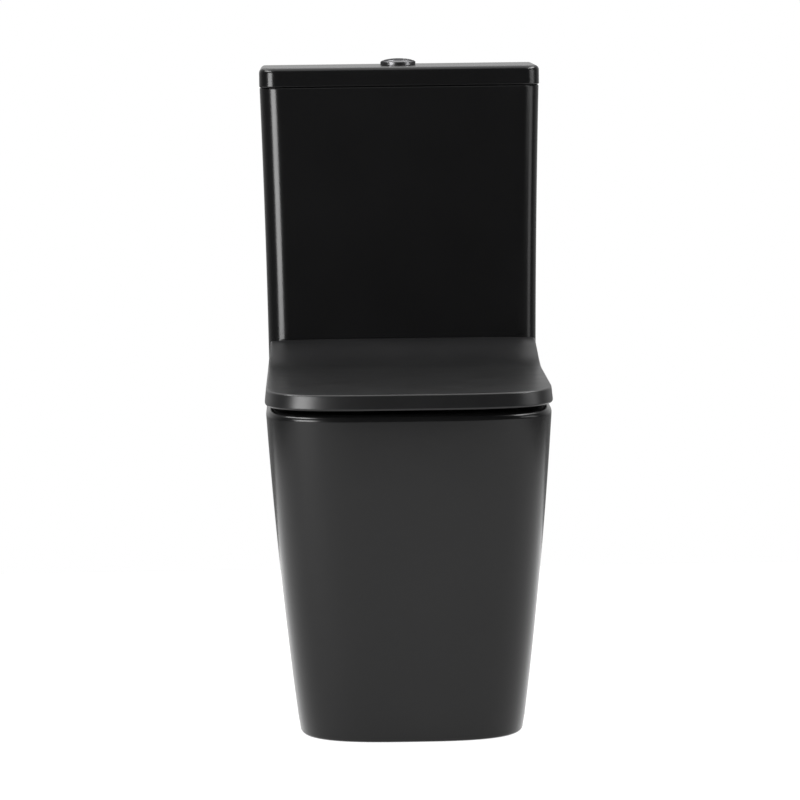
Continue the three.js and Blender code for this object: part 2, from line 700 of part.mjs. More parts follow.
// ------------------------------------------------------------------ flush valve
const VALVE_AT = [0, CISTERN_MID_Y, 0];
const FLANGE_Z = CISTERN_FLOOR_Z + GAP;
const SEAL_SEAT_Z = FLANGE_Z + 9.7;
const TAIL_END_Z = 381;
const TOWER_Z = 450;
const TOWER_TOP_Z = 653;
const OVERFLOW_TOP_Z = 632;
const ROCKER_Z = 683;
const ROCKER_PIVOT_X = 4;
const ROCKER_Y = -6; // the full flush rod and the rocker stand this far in front of the valve's axis
const FULL_ROD_X = -8;
const FULL_ROD = 3;
const HALF_ROD_AT = [12.6, 6];
const HALF_ROD = 2.5;
const ROCKER_HALF = 3;
const LIFT_STRAP_X = 30;
const SMALL_PIN = 2; // radius of the rocker's and the lever's pin
const SMALL_BORE = SMALL_PIN + GAP;

place('valve_base', turned([
  [25, TAIL_END_Z], [27.6, TAIL_END_Z], [27.6, RIM_Z - 14], [29.5, RIM_Z - 14], [29.5, FLANGE_Z],
  [45, FLANGE_Z], [45, FLANGE_Z + 6], [30, FLANGE_Z + 6], [28, SEAL_SEAT_Z], [25, SEAL_SEAT_Z],
  [25, TAIL_END_Z],
], 20), whitePlastic, VALVE_AT);
place('valve_back_nut', hexNut(72, 30.1, 392, CISTERN_BOTTOM_Z - GAP, 20), whitePlastic, VALVE_AT);
place('coupling_gasket', turned([
  [42.6, 387], [50, 384.4], [56.5, 390], [56.5, RIM_Z], [52, CISTERN_BOTTOM_Z - GAP],
  [42.6, CISTERN_BOTTOM_Z - GAP], [42.6, 387],
], 20), rubber, VALVE_AT);

function valveTower() {
  const legs = [30, 150, 270].map((degrees) =>
    box([37, 43], [-5, 5], [FLANGE_Z + 6 + GAP, TOWER_Z + 5]).rotateZ(THREE.MathUtils.degToRad(degrees)));
  const cheeks = [-1, 1].map((side) => {
    const y = ROCKER_Y + side * 7;
    return box([ROCKER_PIVOT_X - 5, ROCKER_PIVOT_X + 5], [y - 1.5, y + 1.5], [TOWER_TOP_Z - 1, ROCKER_Z + 5]);
  });
  const windows = [0, 90].map((degrees) =>
    box([-50, 50], [-14, 14], [500, 600]).rotateZ(THREE.MathUtils.degToRad(degrees)));
  const strapSlot = box(
    [LIFT_STRAP_X - 12, LIFT_STRAP_X + 5],
    [ROCKER_Y - 6, ROCKER_Y + 6],
    [TOWER_TOP_Z - 10, TOWER_TOP_Z + 1],
  );
  return cut(
    join(rod(42, TOWER_Z, TOWER_TOP_Z, 16), ...legs, ...cheeks),
    rod(39, TOWER_Z - 1, TOWER_TOP_Z - 3, 16),
    ...windows,
    strapSlot,
    rodY(SMALL_BORE, ROCKER_Y - 12, ROCKER_Y + 12, 10).translate(ROCKER_PIVOT_X, 0, ROCKER_Z),
  );
}

place('valve_tower', valveTower(), bluePlastic, VALVE_AT);

// The overflow tube stands on the valve's disc; its lift strap ends in a ledge over the rocker.
function overflowTube() {
  const armZ = 606;
  const discZ = SEAL_SEAT_Z + 4 + GAP;
  const strap = (from, low, high) =>
    box([from, LIFT_STRAP_X + 3], [ROCKER_Y - 4, ROCKER_Y + 4], [low, high]);
  return cut(
    join(
      turned([[14, discZ], [33, discZ], [33, SEAL_SEAT_Z + 8], [15, SEAL_SEAT_Z + 14],
        [15, OVERFLOW_TOP_Z], [13, OVERFLOW_TOP_Z], [13, discZ], [14, discZ]], 12),
      strap(13.4, armZ, armZ + 5),
      strap(LIFT_STRAP_X, armZ, ROCKER_Z + 8),
      strap(LIFT_STRAP_X - 9, ROCKER_Z + ROCKER_HALF + 0.4, ROCKER_Z + 8),
    ),
    rod(12.9, SEAL_SEAT_Z + 4, OVERFLOW_TOP_Z + 1, 12),
  );
}

place('overflow_tube', overflowTube(), whitePlastic, VALVE_AT);
place('valve_seal', tube(14, 34, SEAL_SEAT_Z + GAP, SEAL_SEAT_Z + 4, 12), rubber, VALVE_AT);

const rockerAt = [ROCKER_PIVOT_X, CISTERN_MID_Y + ROCKER_Y, ROCKER_Z];
const rockerEnd = LIFT_STRAP_X - 1.5 - ROCKER_PIVOT_X;
place('flush_rocker', cut(
  box([FULL_ROD_X - 4 - ROCKER_PIVOT_X, rockerEnd], [-4, 4], [-ROCKER_HALF, ROCKER_HALF]),
  rodY(SMALL_BORE, -6, 6, 10),
), greyPlastic, rockerAt);
place('rocker_pin', rodY(SMALL_PIN, -9.5, 9.5, 10), steel, rockerAt);

// ------------------------------------------------------------------ flush buttons
const domeZ = (radius) => BUTTON_TOP_Z - DOME_RISE * (1 - Math.sqrt(1 - (radius / DOME_RADIUS) ** 2));
const COLLAR_BORE = BUTTON_RADIUS + GAP;
const COLLAR_SHANK = BUTTON_HOLE - GAP;
const COLLAR_END_Z = 760;
const BUTTON_BOTTOM_Z = BUTTON_TOP_Z - 15;
const ROD_SOCKET = 7;

place('button_collar', turned([
  [COLLAR_BORE, COLLAR_END_Z], [COLLAR_SHANK, COLLAR_END_Z], [COLLAR_SHANK, LID_TOP_Z + GAP],
  [COLLAR_RADIUS, LID_TOP_Z + GAP],
  ...[COLLAR_RADIUS, 21.7, 20.7, COLLAR_BORE + 1.2].map((radius) => [radius, domeZ(radius)]),
  [COLLAR_BORE, domeZ(COLLAR_BORE) - 0.8], [COLLAR_BORE, COLLAR_END_Z],
], 24), chrome, VALVE_AT);
place('button_lock_nut', hexNut(48, COLLAR_SHANK + GAP, 775, LID_INSIDE_Z - GAP, 20), whitePlastic, VALVE_AT);

function button(side, [rodAtX, rodAtY], rodRadius) {
  const bottom = BUTTON_BOTTOM_Z;
  const profile = [[0, bottom], [BUTTON_RADIUS, bottom]];
  for (const radius of [BUTTON_RADIUS, 14, 9, 4]) profile.push([radius, domeZ(radius)]);
  profile.push([0, BUTTON_TOP_Z]);
  const edge = BUTTON_SPLIT_X + side * 0.4;
  const away = side > 0 ? [-30, edge] : [edge, 30];
  return cut(
    turned(profile, 24),
    box(away, [-30, 30], [bottom - 1, BUTTON_TOP_Z + 1]),
    rod(rodRadius + GAP, bottom - 1, bottom + ROD_SOCKET, 8).translate(rodAtX, rodAtY, 0),
  );
}

const ROD_TOP_Z = BUTTON_BOTTOM_Z + ROD_SOCKET - GAP;
const fullRodAt = [FULL_ROD_X, ROCKER_Y];
place('full_flush_button', button(-1, fullRodAt, FULL_ROD), chrome, VALVE_AT);
place('half_flush_button', button(1, HALF_ROD_AT, HALF_ROD), chrome, VALVE_AT);

// The rods stand in the underside of the buttons; the full flush rod's narrow tip rolls on the rocker.
const FULL_ROD_END_Z = ROCKER_Z + ROCKER_HALF + 0.4;
const fullRod = turned([
  [0, FULL_ROD_END_Z], [0.7, FULL_ROD_END_Z], [FULL_ROD, FULL_ROD_END_Z + 2.5], [FULL_ROD, ROD_TOP_Z],
  [0, ROD_TOP_Z],
], 8);
place('full_flush_rod', fullRod, whitePlastic, [fullRodAt[0], CISTERN_MID_Y + fullRodAt[1], 0]);
const halfRod = rod(HALF_ROD, 690, ROD_TOP_Z, 8);
place('half_flush_rod', halfRod, whitePlastic, [HALF_ROD_AT[0], CISTERN_MID_Y + HALF_ROD_AT[1], 0]);

// ------------------------------------------------------------------ fill valve
const FILL_AT = [INLET_X, CISTERN_MID_Y, 0];
const WASHER_TOP_Z = CISTERN_FLOOR_Z + 4 + GAP;
const HEAD_Z = 600;
const LEVER_Z = 646;
const LEVER_PIVOT_X = 6;
const LINK_X = -26;

place('fill_valve_shank', turned([
  [6, 350], [10, 350], [10, WASHER_TOP_Z + GAP], [19, WASHER_TOP_Z + GAP], [19, WASHER_TOP_Z + 4],
  [10, WASHER_TOP_Z + 6], [10, HEAD_Z], [6, HEAD_Z], [6, 350],
], 12), whitePlastic, FILL_AT);
place('shank_washer', tube(10.6, 18, CISTERN_FLOOR_Z + GAP, WASHER_TOP_Z, 12), rubber, FILL_AT);
place('shank_lock_nut', hexNut(30, 10.6, 392, CISTERN_BOTTOM_Z - GAP, 12), whitePlastic, FILL_AT);
place('fill_valve_head', cut(
  join(
    turned([[0, HEAD_Z + GAP], [14, HEAD_Z + GAP], [20, HEAD_Z + 10], [20, HEAD_Z + 32], [13, HEAD_Z + 40],
      [0, HEAD_Z + 40]], 12),
    box([LEVER_PIVOT_X - 4, LEVER_PIVOT_X + 4], [-8, -5], [HEAD_Z + 36, LEVER_Z + 5]),
    box([LEVER_PIVOT_X - 4, LEVER_PIVOT_X + 4], [5, 8], [HEAD_Z + 36, LEVER_Z + 5]),
  ),
  rodY(SMALL_BORE, -10, 10, 10).translate(LEVER_PIVOT_X, 0, LEVER_Z),
), greyPlastic, FILL_AT);
place('float_cup', turned([
  [12.5, 522], [14.5, 522], [14.5, 572], [29, 572], [29, 522], [31, 522], [31, 576], [12.5, 576], [12.5, 522],
], 16), greyPlastic, FILL_AT);
place('float_link', rod(1.8, 576 + GAP, LEVER_Z - 3 - 1.2, 8), steel,
  [FILL_AT[0] + LINK_X, CISTERN_MID_Y, 0]);
const leverAt = [FILL_AT[0] + LEVER_PIVOT_X, CISTERN_MID_Y, LEVER_Z];
place('fill_valve_lever', cut(
  box([LINK_X - 4 - LEVER_PIVOT_X, 5], [-4, 4], [-3, 3]),
  rodY(SMALL_BORE, -6, 6, 10),
), bluePlastic, leverAt);
place('fill_valve_pin', rodY(SMALL_PIN, -8.5, 8.5, 10), steel, leverAt);

// The second inlet hole is blanked.
const PLUG_AT = [-INLET_X, CISTERN_MID_Y, 0];
place('inlet_plug', join(
  rod(10, 384, CISTERN_FLOOR_Z + 2, 12),
  rod(16, CISTERN_FLOOR_Z + GAP, CISTERN_FLOOR_Z + 6, 12),
), whitePlastic, PLUG_AT);
place('plug_nut', hexNut(30, 10.6, 392, CISTERN_BOTTOM_Z - GAP, 12), whitePlastic, PLUG_AT);

export default toilet;
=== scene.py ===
import json
import math

import bmesh
import bpy
import numpy as np
from mathutils import Matrix, Vector

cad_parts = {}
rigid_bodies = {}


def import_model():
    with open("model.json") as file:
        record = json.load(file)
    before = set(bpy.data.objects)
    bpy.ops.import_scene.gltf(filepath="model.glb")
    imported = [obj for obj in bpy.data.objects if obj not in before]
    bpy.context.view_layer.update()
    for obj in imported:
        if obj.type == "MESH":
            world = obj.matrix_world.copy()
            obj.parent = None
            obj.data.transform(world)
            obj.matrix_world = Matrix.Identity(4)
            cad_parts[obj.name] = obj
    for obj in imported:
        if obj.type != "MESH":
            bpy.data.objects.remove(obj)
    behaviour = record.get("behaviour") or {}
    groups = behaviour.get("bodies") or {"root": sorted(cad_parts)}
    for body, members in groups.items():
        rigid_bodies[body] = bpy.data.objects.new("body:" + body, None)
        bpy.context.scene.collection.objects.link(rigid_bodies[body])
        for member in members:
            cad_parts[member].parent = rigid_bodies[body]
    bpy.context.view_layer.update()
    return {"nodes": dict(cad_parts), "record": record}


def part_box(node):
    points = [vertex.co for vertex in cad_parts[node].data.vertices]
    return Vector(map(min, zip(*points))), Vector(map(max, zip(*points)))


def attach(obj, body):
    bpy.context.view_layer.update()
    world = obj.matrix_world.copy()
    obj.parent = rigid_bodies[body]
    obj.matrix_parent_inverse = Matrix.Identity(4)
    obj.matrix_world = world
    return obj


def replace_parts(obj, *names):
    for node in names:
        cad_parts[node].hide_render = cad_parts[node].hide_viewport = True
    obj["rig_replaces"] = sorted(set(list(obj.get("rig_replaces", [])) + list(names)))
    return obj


# Looks of the close coupled toilet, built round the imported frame. Metres, +Z up, the front faces -Y.
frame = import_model()

# ------------------------------------------------------------------ driving sizes, from the frame
MM = 0.001
RIM_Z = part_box("pan")[1].z
WALL_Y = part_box("pan")[1].y
FRONT_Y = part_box("seat_lid")[0].y
PAN_FOOT_HALF = 135.3 * MM
PAN_RIM_HALF = 171 * MM
PAN_FOOT_FRONT = FRONT_Y + 63 * MM
PAN_RIM_FRONT = FRONT_Y + 3 * MM
SIDE_BOW, FRONT_BOW = 0.36, 0.258
SHELL = 12 * MM
DECK_UNDER_Z = RIM_Z - 22 * MM
RIM_ROUND = 9 * MM
FOOT_ROUND = 4 * MM
CISTERN_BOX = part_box("cistern")
CISTERN_LID_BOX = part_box("cistern_lid")
CISTERN_MID_Y = (CISTERN_BOX[0].y + CISTERN_BOX[1].y) / 2
SEAT_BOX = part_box("seat_lid")
RING_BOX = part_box("seat_ring")
SEAT_TOP_Z = RIM_Z + 23.5 * MM
HINGE_X = 77.5 * MM
HINGE_Y = 96 * MM
HINGE_Z = 433 * MM
PIN = 3.2 * MM
PIN_BORE = PIN + 0.3 * MM
KNUCKLE = 6.5 * MM
KNUCKLE_EDGE = 0.8 * MM
FIXING_HOLE = 6.5 * MM
BOLT_X = 85 * MM
INLET_X = 125 * MM


# ------------------------------------------------------------------ outlines
def powered(value, power):
    return np.sign(value) * np.abs(value) ** (2 / power)


def even(points, count):
    """The open polyline resampled to count points, evenly along its length."""
    steps = np.r_[0, np.cumsum(np.linalg.norm(np.diff(points, axis=0), axis=1))]
    at = np.linspace(0, steps[-1], count)
    return np.c_[np.interp(at, steps, points[:, 0]), np.interp(at, steps, points[:, 1])]


def arc(centre, radius, start, end, count):
    angles = np.linspace(start, end, count)
    return np.c_[centre[0] + radius * np.cos(angles), centre[1] + radius * np.sin(angles)]


def line(start, end, count):
    """Points strictly between two corners."""
    share = np.linspace(0, 1, count + 2)[1:-1, None]
    return np.array(start) * (1 - share) + np.array(end) * share


def d_outline(half, front, nose, power, back, corner, side_points=60):
    """A D-shaped plan: superellipse nose, straight sides, flat back with rounded corners."""
    angle = np.linspace(math.pi, 2 * math.pi, 1441)
    x = half * powered(np.cos(angle), power)
    y = front + nose + nose * powered(np.sin(angle), power)
    curve = np.c_[x, y]
    right = arc((half - corner, back - corner), corner, 0, math.pi / 2, 9)
    left = arc((corner - half, back - corner), corner, math.pi / 2, math.pi, 9)
    return np.vstack([
        even(curve, 97),
        line(curve[-1], right[0], side_points),
        right,
        line(right[-1], left[0], 24),
        left,
        line(left[-1], curve[0], side_points),
    ])


def block_outline(half, front, back, front_corner, back_corner):
    """A rectangle with its own corner radius at the front and at the back."""
    quarter = math.pi / 2
    right_front = arc((half - front_corner, front + front_corner), front_corner, -quarter, 0, 17)
    right_back = arc((half - back_corner, back - back_corner), back_corner, 0, quarter, 9)
    left_back = arc((back_corner - half, back - back_corner), back_corner, quarter, math.pi, 9)
    left_front = arc((front_corner - half, front + front_corner), front_corner, math.pi, 3 * quarter, 17)
    return np.vstack([
        right_front,
        line(right_front[-1], right_back[0], 12),
        right_back,
        line(right_back[-1], left_back[0], 24),
        left_back,
        line(left_back[-1], left_front[0], 12),
        left_front,
        line(left_front[-1], right_front[0], 24),
    ])


def egg_outline(half, front, back, power, count=112):
    """A superellipse between a front and a back."""
    angle = np.linspace(0, 2 * math.pi, 1441)
    x = half * powered(np.cos(angle), power)
    y = (front + back) / 2 + (back - front) / 2 * powered(np.sin(angle), power)
    return even(np.c_[x, y], count + 1)[:-1]


def at_height(outline, z):
    return np.c_[outline, np.broadcast_to(z, len(outline))]


def quarter_turn(count):
    """(sine, cosine) pairs over a quarter turn."""
    angles = np.linspace(0, math.pi / 2, count)
    return [(math.sin(a), math.cos(a)) for a in angles]


# ------------------------------------------------------------------ meshes
def make_object(name, vertices, faces):
    mesh = bpy.data.meshes.new(name)
    mesh.from_pydata([tuple(map(float, v)) for v in vertices], [], faces)
    work = bmesh.new()
    work.from_mesh(mesh)
    bmesh.ops.remove_doubles(work, verts=work.verts, dist=1e-6)
    bmesh.ops.dissolve_degenerate(work, dist=1e-7, edges=work.edges)
    bmesh.ops.recalc_face_normals(work, faces=work.faces)
    work.to_mesh(mesh)
    work.free()
    obj = bpy.data.objects.new(name, mesh)
    bpy.context.scene.collection.objects.link(obj)
    return obj


def skin(name, rings, looped=False):
    """A closed skin over rings of equal point count; looped joins the last ring to the first."""
    count = len(rings[0])
    faces = []
    spans = len(rings) if looped else len(rings) - 1
    for level in range(spans):
        low = level * count
        high = ((level + 1) % len(rings)) * count
        for i in range(count):
            following = (i + 1) % count
            faces.append((low + i, low + following, high + following, high + i))
    if not looped:
        faces.append(tuple(range(count))[::-1])
        faces.append(tuple(range((len(rings) - 1) * count, len(rings) * count)))
    return make_object(name, np.vstack(rings), faces)


def boxed(name, low, high):
    (x0, y0, z0), (x1, y1, z1) = low, high
    square = np.array([(x0, y0), (x1, y0), (x1, y1), (x0, y1)])
    return skin(name, [at_height(square, z0), at_height(square, z1)])


def turned(name, profile, at=(0, 0, 0), axis="Z", steps=48, round_by=0.0):
    """Turned about an axis through at; the profile is a closed loop of (radius, height) points."""
    points = filleted(profile, round_by) if round_by else np.array(profile, float)
    rings = []
    for k in range(steps):
        angle = 2 * math.pi * k / steps
        rings.append(np.c_[points[:, 0] * math.cos(angle), points[:, 0] * math.sin(angle), points[:, 1]])
    count = len(points)
    faces = []
    for k in range(steps):
        here, there = k * count, ((k + 1) % steps) * count
        for i in range(count):
            j = (i + 1) % count
            if points[i, 0] < 1e-9 and points[j, 0] < 1e-9:
                continue
            faces.append((here + i, there + i, there + j, here + j))
    obj = make_object(name, np.vstack(rings), faces)
    if axis == "X":
        obj.data.transform(Matrix.Rotation(math.pi / 2, 4, "Y"))
    if axis == "Y":
        obj.data.transform(Matrix.Rotation(-math.pi / 2, 4, "X"))
    obj.data.transform(Matrix.Translation(Vector(at)))
    return obj


def filleted(profile, radius, steps=4):
    """Rounds each corner of a closed profile, except those on the axis."""
    points = [np.array(p, float) for p in profile]
    out = []
    for i, here in enumerate(points):
        before, after = points[i - 1] - here, points[(i + 1) % len(points)] - here
        reach = min(radius, 0.45 * np.linalg.norm(before), 0.45 * np.linalg.norm(after))
        if here[0] < 1e-9 or reach < 1e-6:
            out.append(here)
            continue
        start = here + before / np.linalg.norm(before) * reach
        end = here + after / np.linalg.norm(after) * reach
        for share in np.linspace(0, 1, steps + 1):
            out.append((1 - share) ** 2 * start + 2 * share * (1 - share) * here + share ** 2 * end)
    return np.array(out)


def combined(base, tools, operation):
    """Joins tools to base or cuts them out of it, for good."""
    group = bpy.data.collections.new(base.name + "_tools")
    for tool in tools:
        group.objects.link(tool)
    modifier = base.modifiers.new(operation, "BOOLEAN")
    modifier.operation = operation
    modifier.solver = "EXACT"
    modifier.operand_type = "COLLECTION"
    modifier.collection = group
    graph = bpy.context.evaluated_depsgraph_get()
    result = bpy.data.meshes.new_from_object(base.evaluated_get(graph))
    base.modifiers.clear()
    base.data = result
    for tool in tools:
        bpy.data.objects.remove(tool)
    bpy.data.collections.remove(group)
    return base


def smoothed(mesh, degrees):
    """Smooth shading that keeps real edges."""
    mesh.polygons.foreach_set("use_smooth", [True] * len(mesh.polygons))
    mesh.set_sharp_from_angle(angle=math.radians(degrees))


# ------------------------------------------------------------------ interpolation
def table(rows, at):
    """Smooth interpolation of a table of rows (position, value, value, ...) at one position."""
    rows = np.array(rows, float)
    keys = rows[:, 0]
    k = int(np.clip(np.searchsorted(keys, at) - 1, 0, len(keys) - 2))
    slopes = np.gradient(rows[:, 1:], keys, axis=0)
    span = keys[k + 1] - keys[k]
    t = (at - keys[k]) / span
    start, end = rows[k, 1:], rows[k + 1, 1:]
    return (
        (2 * t ** 3 - 3 * t ** 2 + 1) * start
        + (t ** 3 - 2 * t ** 2 + t) * span * slopes[k]
        + (3 * t ** 2 - 2 * t ** 3) * end
        + (t ** 3 - t ** 2) * span * slopes[k + 1]
    )


def swept(name, path, radius):
    """A round bar or bore along a smooth path in the plane X = 0, given as (y, z) points."""
    sides, steps = 40, 64
    along = np.r_[0, np.cumsum(np.linalg.norm(np.diff(path, axis=0), axis=1))]
    rows = np.c_[along, path]
    centres = np.array([table(rows, s) for s in np.linspace(0, along[-1], steps)])
    heading = np.gradient(centres, axis=0)
    heading /= np.linalg.norm(heading, axis=1)[:, None]
    rings = []
    for (y, z), (dy, dz) in zip(centres, heading):
        angle = np.linspace(0, 2 * math.pi, sides, endpoint=False)
        across, up = radius * np.cos(angle), radius * np.sin(angle)
        rings.append(np.c_[across, y - dz * up, z + dy * up])
    return skin(name, rings)


def cylinder(name, radius, low, high, x, y, steps=40):
    angle = np.linspace(0, 2 * math.pi, steps, endpoint=False)
    circle = np.c_[x + radius * np.cos(angle), y + radius * np.sin(angle)]
    return skin(name, [at_height(circle, low), at_height(circle, high)])


def cylinder_x(name, radius, low, high, y, z):
    angle = np.linspace(0, 2 * math.pi, 40, endpoint=False)
    circle = np.c_[y + radius * np.cos(angle), z + radius * np.sin(angle)]
    return skin(name, [np.insert(circle, 0, x, axis=1) for x in (low, high)])


def cylinder_y(name, radius, low, high, x, z):
    angle = np.linspace(0, 2 * math.pi, 48, endpoint=False)
    circle = np.c_[x + radius * np.cos(angle), z + radius * np.sin(angle)]
    return skin(name, [np.insert(circle, 1, y, axis=1) for y in (low, high)])


def round_bar(radius, middle, half, edge, steps=48):
    """A bar with rounded ends on the hinge's axis."""
    profile = [(0, -half), (radius, -half), (radius, half), (0, half)]
    at = (middle, HINGE_Y, HINGE_Z)
    return turned("round_bar", profile, at=at, axis="X", steps=steps, round_by=edge)


def softened(obj, width, segments=3, degrees=30):
    """Rounds the sharper edges of a mesh, for good."""
    work = bmesh.new()
    work.from_mesh(obj.data)
    limit = math.radians(degrees)
    edges = [e for e in work.edges if len(e.link_faces) == 2 and e.calc_face_angle(0) > limit]
    bmesh.ops.bevel(
        work, geom=edges, offset=width, offset_type="OFFSET", segments=segments, profile=0.5,
        affect="EDGES", clamp_overlap=True,
    )
    work.to_mesh(obj.data)
    work.free()
    return obj


# ------------------------------------------------------------------ pan
def flare(z, bow):
    """How far the shell has flared out from foot to rim, from 0 to 1, along a bowed line."""
    t = z / RIM_Z
    return t * (1 + bow - bow * t)


def mix(start, end, share):
    return start + (end - start) * share


def pan_outline(z, inset):
    return d_outline(
        mix(PAN_FOOT_HALF, PAN_RIM_HALF, flare(z, SIDE_BOW)) - inset,
        mix(PAN_FOOT_FRONT, PAN_RIM_FRONT, flare(z, FRONT_BOW)) + inset,
        mix(115, 125, z / RIM_Z) * MM - inset,
        mix(3, 3.5, z / RIM_Z),
        WALL_Y - inset,
        5 * MM,
        side_points=30,
    )


def pan_shell():
    rings = []
    for sine, cosine in quarter_turn(7):
        inset = FOOT_ROUND * (1 - sine)
        rings.append(at_height(pan_outline(0, inset), FOOT_ROUND * (1 - cosine)))
    for z in np.linspace(FOOT_ROUND, RIM_Z - RIM_ROUND, 26)[1:-1]:
        rings.append(at_height(pan_outline(z, 0), z))
    for sine, cosine in quarter_turn(11):
        z = RIM_Z - RIM_ROUND * (1 - sine)
        rings.append(at_height(pan_outline(z, RIM_ROUND * (1 - cosine)), z))
    return skin("pan_visual", rings)


# the bowl's inside: fall from the rim as a share, then its half width, front and back in millimetres
BOWL_BASE_Z = 66 * MM
BOWL_WALL = 11 * MM
BOWL_ROWS = [
    (0.0, 132, -266, 50),
    (0.12, 128, -263, 47),
    (0.28, 114, -242, 40),
    (0.46, 88, -198, 30),
    (0.64, 62, -142, 22),
    (0.84, 44, -84, 16),
    (1.0, 38, -66, 12),
]


def bowl_outline(fall, grow):
    half, front, back = table(BOWL_ROWS, fall) * MM
    return egg_outline(half + grow, front - grow, back + grow, mix(2.7, 2.1, fall))


def bowl_rings(grow, base_drop):
    """Rings of the bowl's inside, or grown by its wall; the base rounds off by base_drop below."""
    rings = []
    for fall in np.linspace(1, 0, 34):
        z = mix(RIM_Z, BOWL_BASE_Z, fall)
        rings.append(at_height(bowl_outline(fall, grow), z))
    round_base = 14 * MM
    for sine, cosine in quarter_turn(6)[:-1][::-1]:
        ring = at_height(bowl_outline(1, grow - round_base * (1 - sine)), BOWL_BASE_Z)
        ring[:, 2] -= base_drop * cosine
        rings.insert(0, ring)
    return rings


def bowl_void():
    rings = bowl_rings(0, 6 * MM)
    edge = 9 * MM
    rings = [r for r in rings if r[0, 2] < RIM_Z - edge]
    for _, cosine in quarter_turn(9):
        z = RIM_Z - edge * cosine
        fall = (RIM_Z - z) / (RIM_Z - BOWL_BASE_Z)
        rings.append(at_height(bowl_outline(fall, edge * (1 - cosine)), z))
    rings.append(rings[-1] + np.array((0, 0, MM)))
    return skin("bowl_void", rings)


# trapway from the sump over its weir to the spigot, (y, z) down the middle plane
TRAP_PATH = np.array([
    (-32, 102), (14, 102), (62, 124), (98, 172), (134, 219), (172, 226), (206, 204), (232, 182),
]) * MM
TRAP_BORE, TRAP_WALL = 36 * MM, 9 * MM
OUTLET_BORE, OUTLET_WALL = 45 * MM, 6 * MM
OUTLET_Z = 180 * MM
OUTLET_END = WALL_Y - 48 * MM
CHANNEL_HALF, CHANNEL_WALL = 30 * MM, 9 * MM
CHANNEL_START, CHANNEL_END = 50 * MM, CISTERN_MID_Y + CHANNEL_HALF
CHANNEL_TOP = DECK_UNDER_Z - 8 * MM
CHANNEL_FLOOR = CHANNEL_TOP - 35 * MM
SERVICE_HALF, SERVICE_TOP = 105 * MM, 345 * MM
SCREW_Y, SCREW_Z = 205 * MM, 60 * MM


def pan_casting():
    """What is cast on inside the shell: bowl, trapway, outlet spigot with two beads, flush duct."""
    bowl = skin("bowl", [r for r in bowl_rings(BOWL_WALL, BOWL_WALL) if r[0, 2] < RIM_Z - 3 * MM])
    trapway = swept("trapway", TRAP_PATH, TRAP_BORE + TRAP_WALL)
    outside = OUTLET_BORE + OUTLET_WALL
    spigot = cylinder_y("spigot", outside, 224 * MM, OUTLET_END, 0, OUTLET_Z)
    duct_half = CHANNEL_HALF + CHANNEL_WALL
    duct = boxed(
        "duct",
        (-duct_half, CHANNEL_START, CHANNEL_FLOOR - CHANNEL_WALL),
        (duct_half, CHANNEL_END + 12 * MM, DECK_UNDER_Z + MM),
    )
    half_bead = [(40 * MM, -1.5 * MM), (outside, -1.5 * MM), (outside + MM, -0.5 * MM)]
    profile = half_bead + [(radius, -height) for radius, height in half_bead[::-1]]
    beads = [turned("bead", profile, at=(0, y, OUTLET_Z), axis="Y") for y in (244 * MM, 252 * MM)]
    return [bowl, trapway, spigot, softened(duct, 5 * MM), *beads]


def outlet_mouth():
    """The spigot's bore, with a lead-in at its end."""
    deep, lead = 40 * MM, 2 * MM
    wide = OUTLET_BORE + lead
    profile = [(0, -deep), (OUTLET_BORE, -deep), (OUTLET_BORE, -lead), (wide, 0), (wide, MM), (0, MM)]
    return turned("mouth", profile, at=(0, OUTLET_END, OUTLET_Z), axis="Y")


def pan_voids():
    voids = [
        bowl_void(),
        swept("trap_bore", TRAP_PATH, TRAP_BORE),
        outlet_mouth(),
        boxed(
            "channel",
            (-CHANNEL_HALF, CHANNEL_START - 20 * MM, CHANNEL_FLOOR),
            (CHANNEL_HALF, CHANNEL_END, CHANNEL_TOP),
        ),
        cylinder("flush_bore", 29 * MM, 350 * MM, RIM_Z + MM, 0, CISTERN_MID_Y),
        cylinder("gasket_recess", 57.5 * MM, RIM_Z - 16 * MM, RIM_Z + MM, 0, CISTERN_MID_Y, 64),
    ]
    low, high = DECK_UNDER_Z - MM, RIM_Z + MM
    for side in (-1, 1):
        voids.append(cylinder("hinge_hole", FIXING_HOLE, low, high, side * HINGE_X, HINGE_Y))
        voids.append(cylinder("bolt_hole", FIXING_HOLE, low, high, side * BOLT_X, CISTERN_MID_Y))
        voids.append(cylinder("inlet_access", 24 * MM, low, high, side * INLET_X, CISTERN_MID_Y))
        for radius, start in ((4.5 * MM, 110 * MM), (10 * MM, 133 * MM)):
            ends = (start, 160 * MM) if side > 0 else (-160 * MM, -start)
            voids.append(cylinder_x("screw_hole", radius, *ends, SCREW_Y, SCREW_Z))
    return voids


def make_pan():
    """One casting: a hollow shell under a deck, open at the foot and in the back."""
    pan = pan_shell()
    heights = np.linspace(-MM, DECK_UNDER_Z, 12)
    cavity = skin("cavity", [at_height(pan_outline(max(z, 0), SHELL), z) for z in heights])
    service = boxed(
        "service",
        (-SERVICE_HALF, WALL_Y - 32 * MM, -MM),
        (SERVICE_HALF, WALL_Y + 10 * MM, SERVICE_TOP),
    )
    combined(pan, [cavity, service], "DIFFERENCE")
    combined(pan, pan_casting(), "UNION")
    return combined(pan, pan_voids(), "DIFFERENCE")


# ------------------------------------------------------------------ cistern and its lid
CISTERN_BOTTOM_Z = CISTERN_BOX[0].z
CISTERN_TOP_Z = CISTERN_BOX[1].z
CORNER = 27 * MM


def cistern_half(z):
    share = min((z - CISTERN_BOTTOM_Z) / (CISTERN_TOP_Z - CISTERN_BOTTOM_Z), 1)
    return CISTERN_BOX[1].x - (7 - 3 * share - 4 * share ** 2) * MM


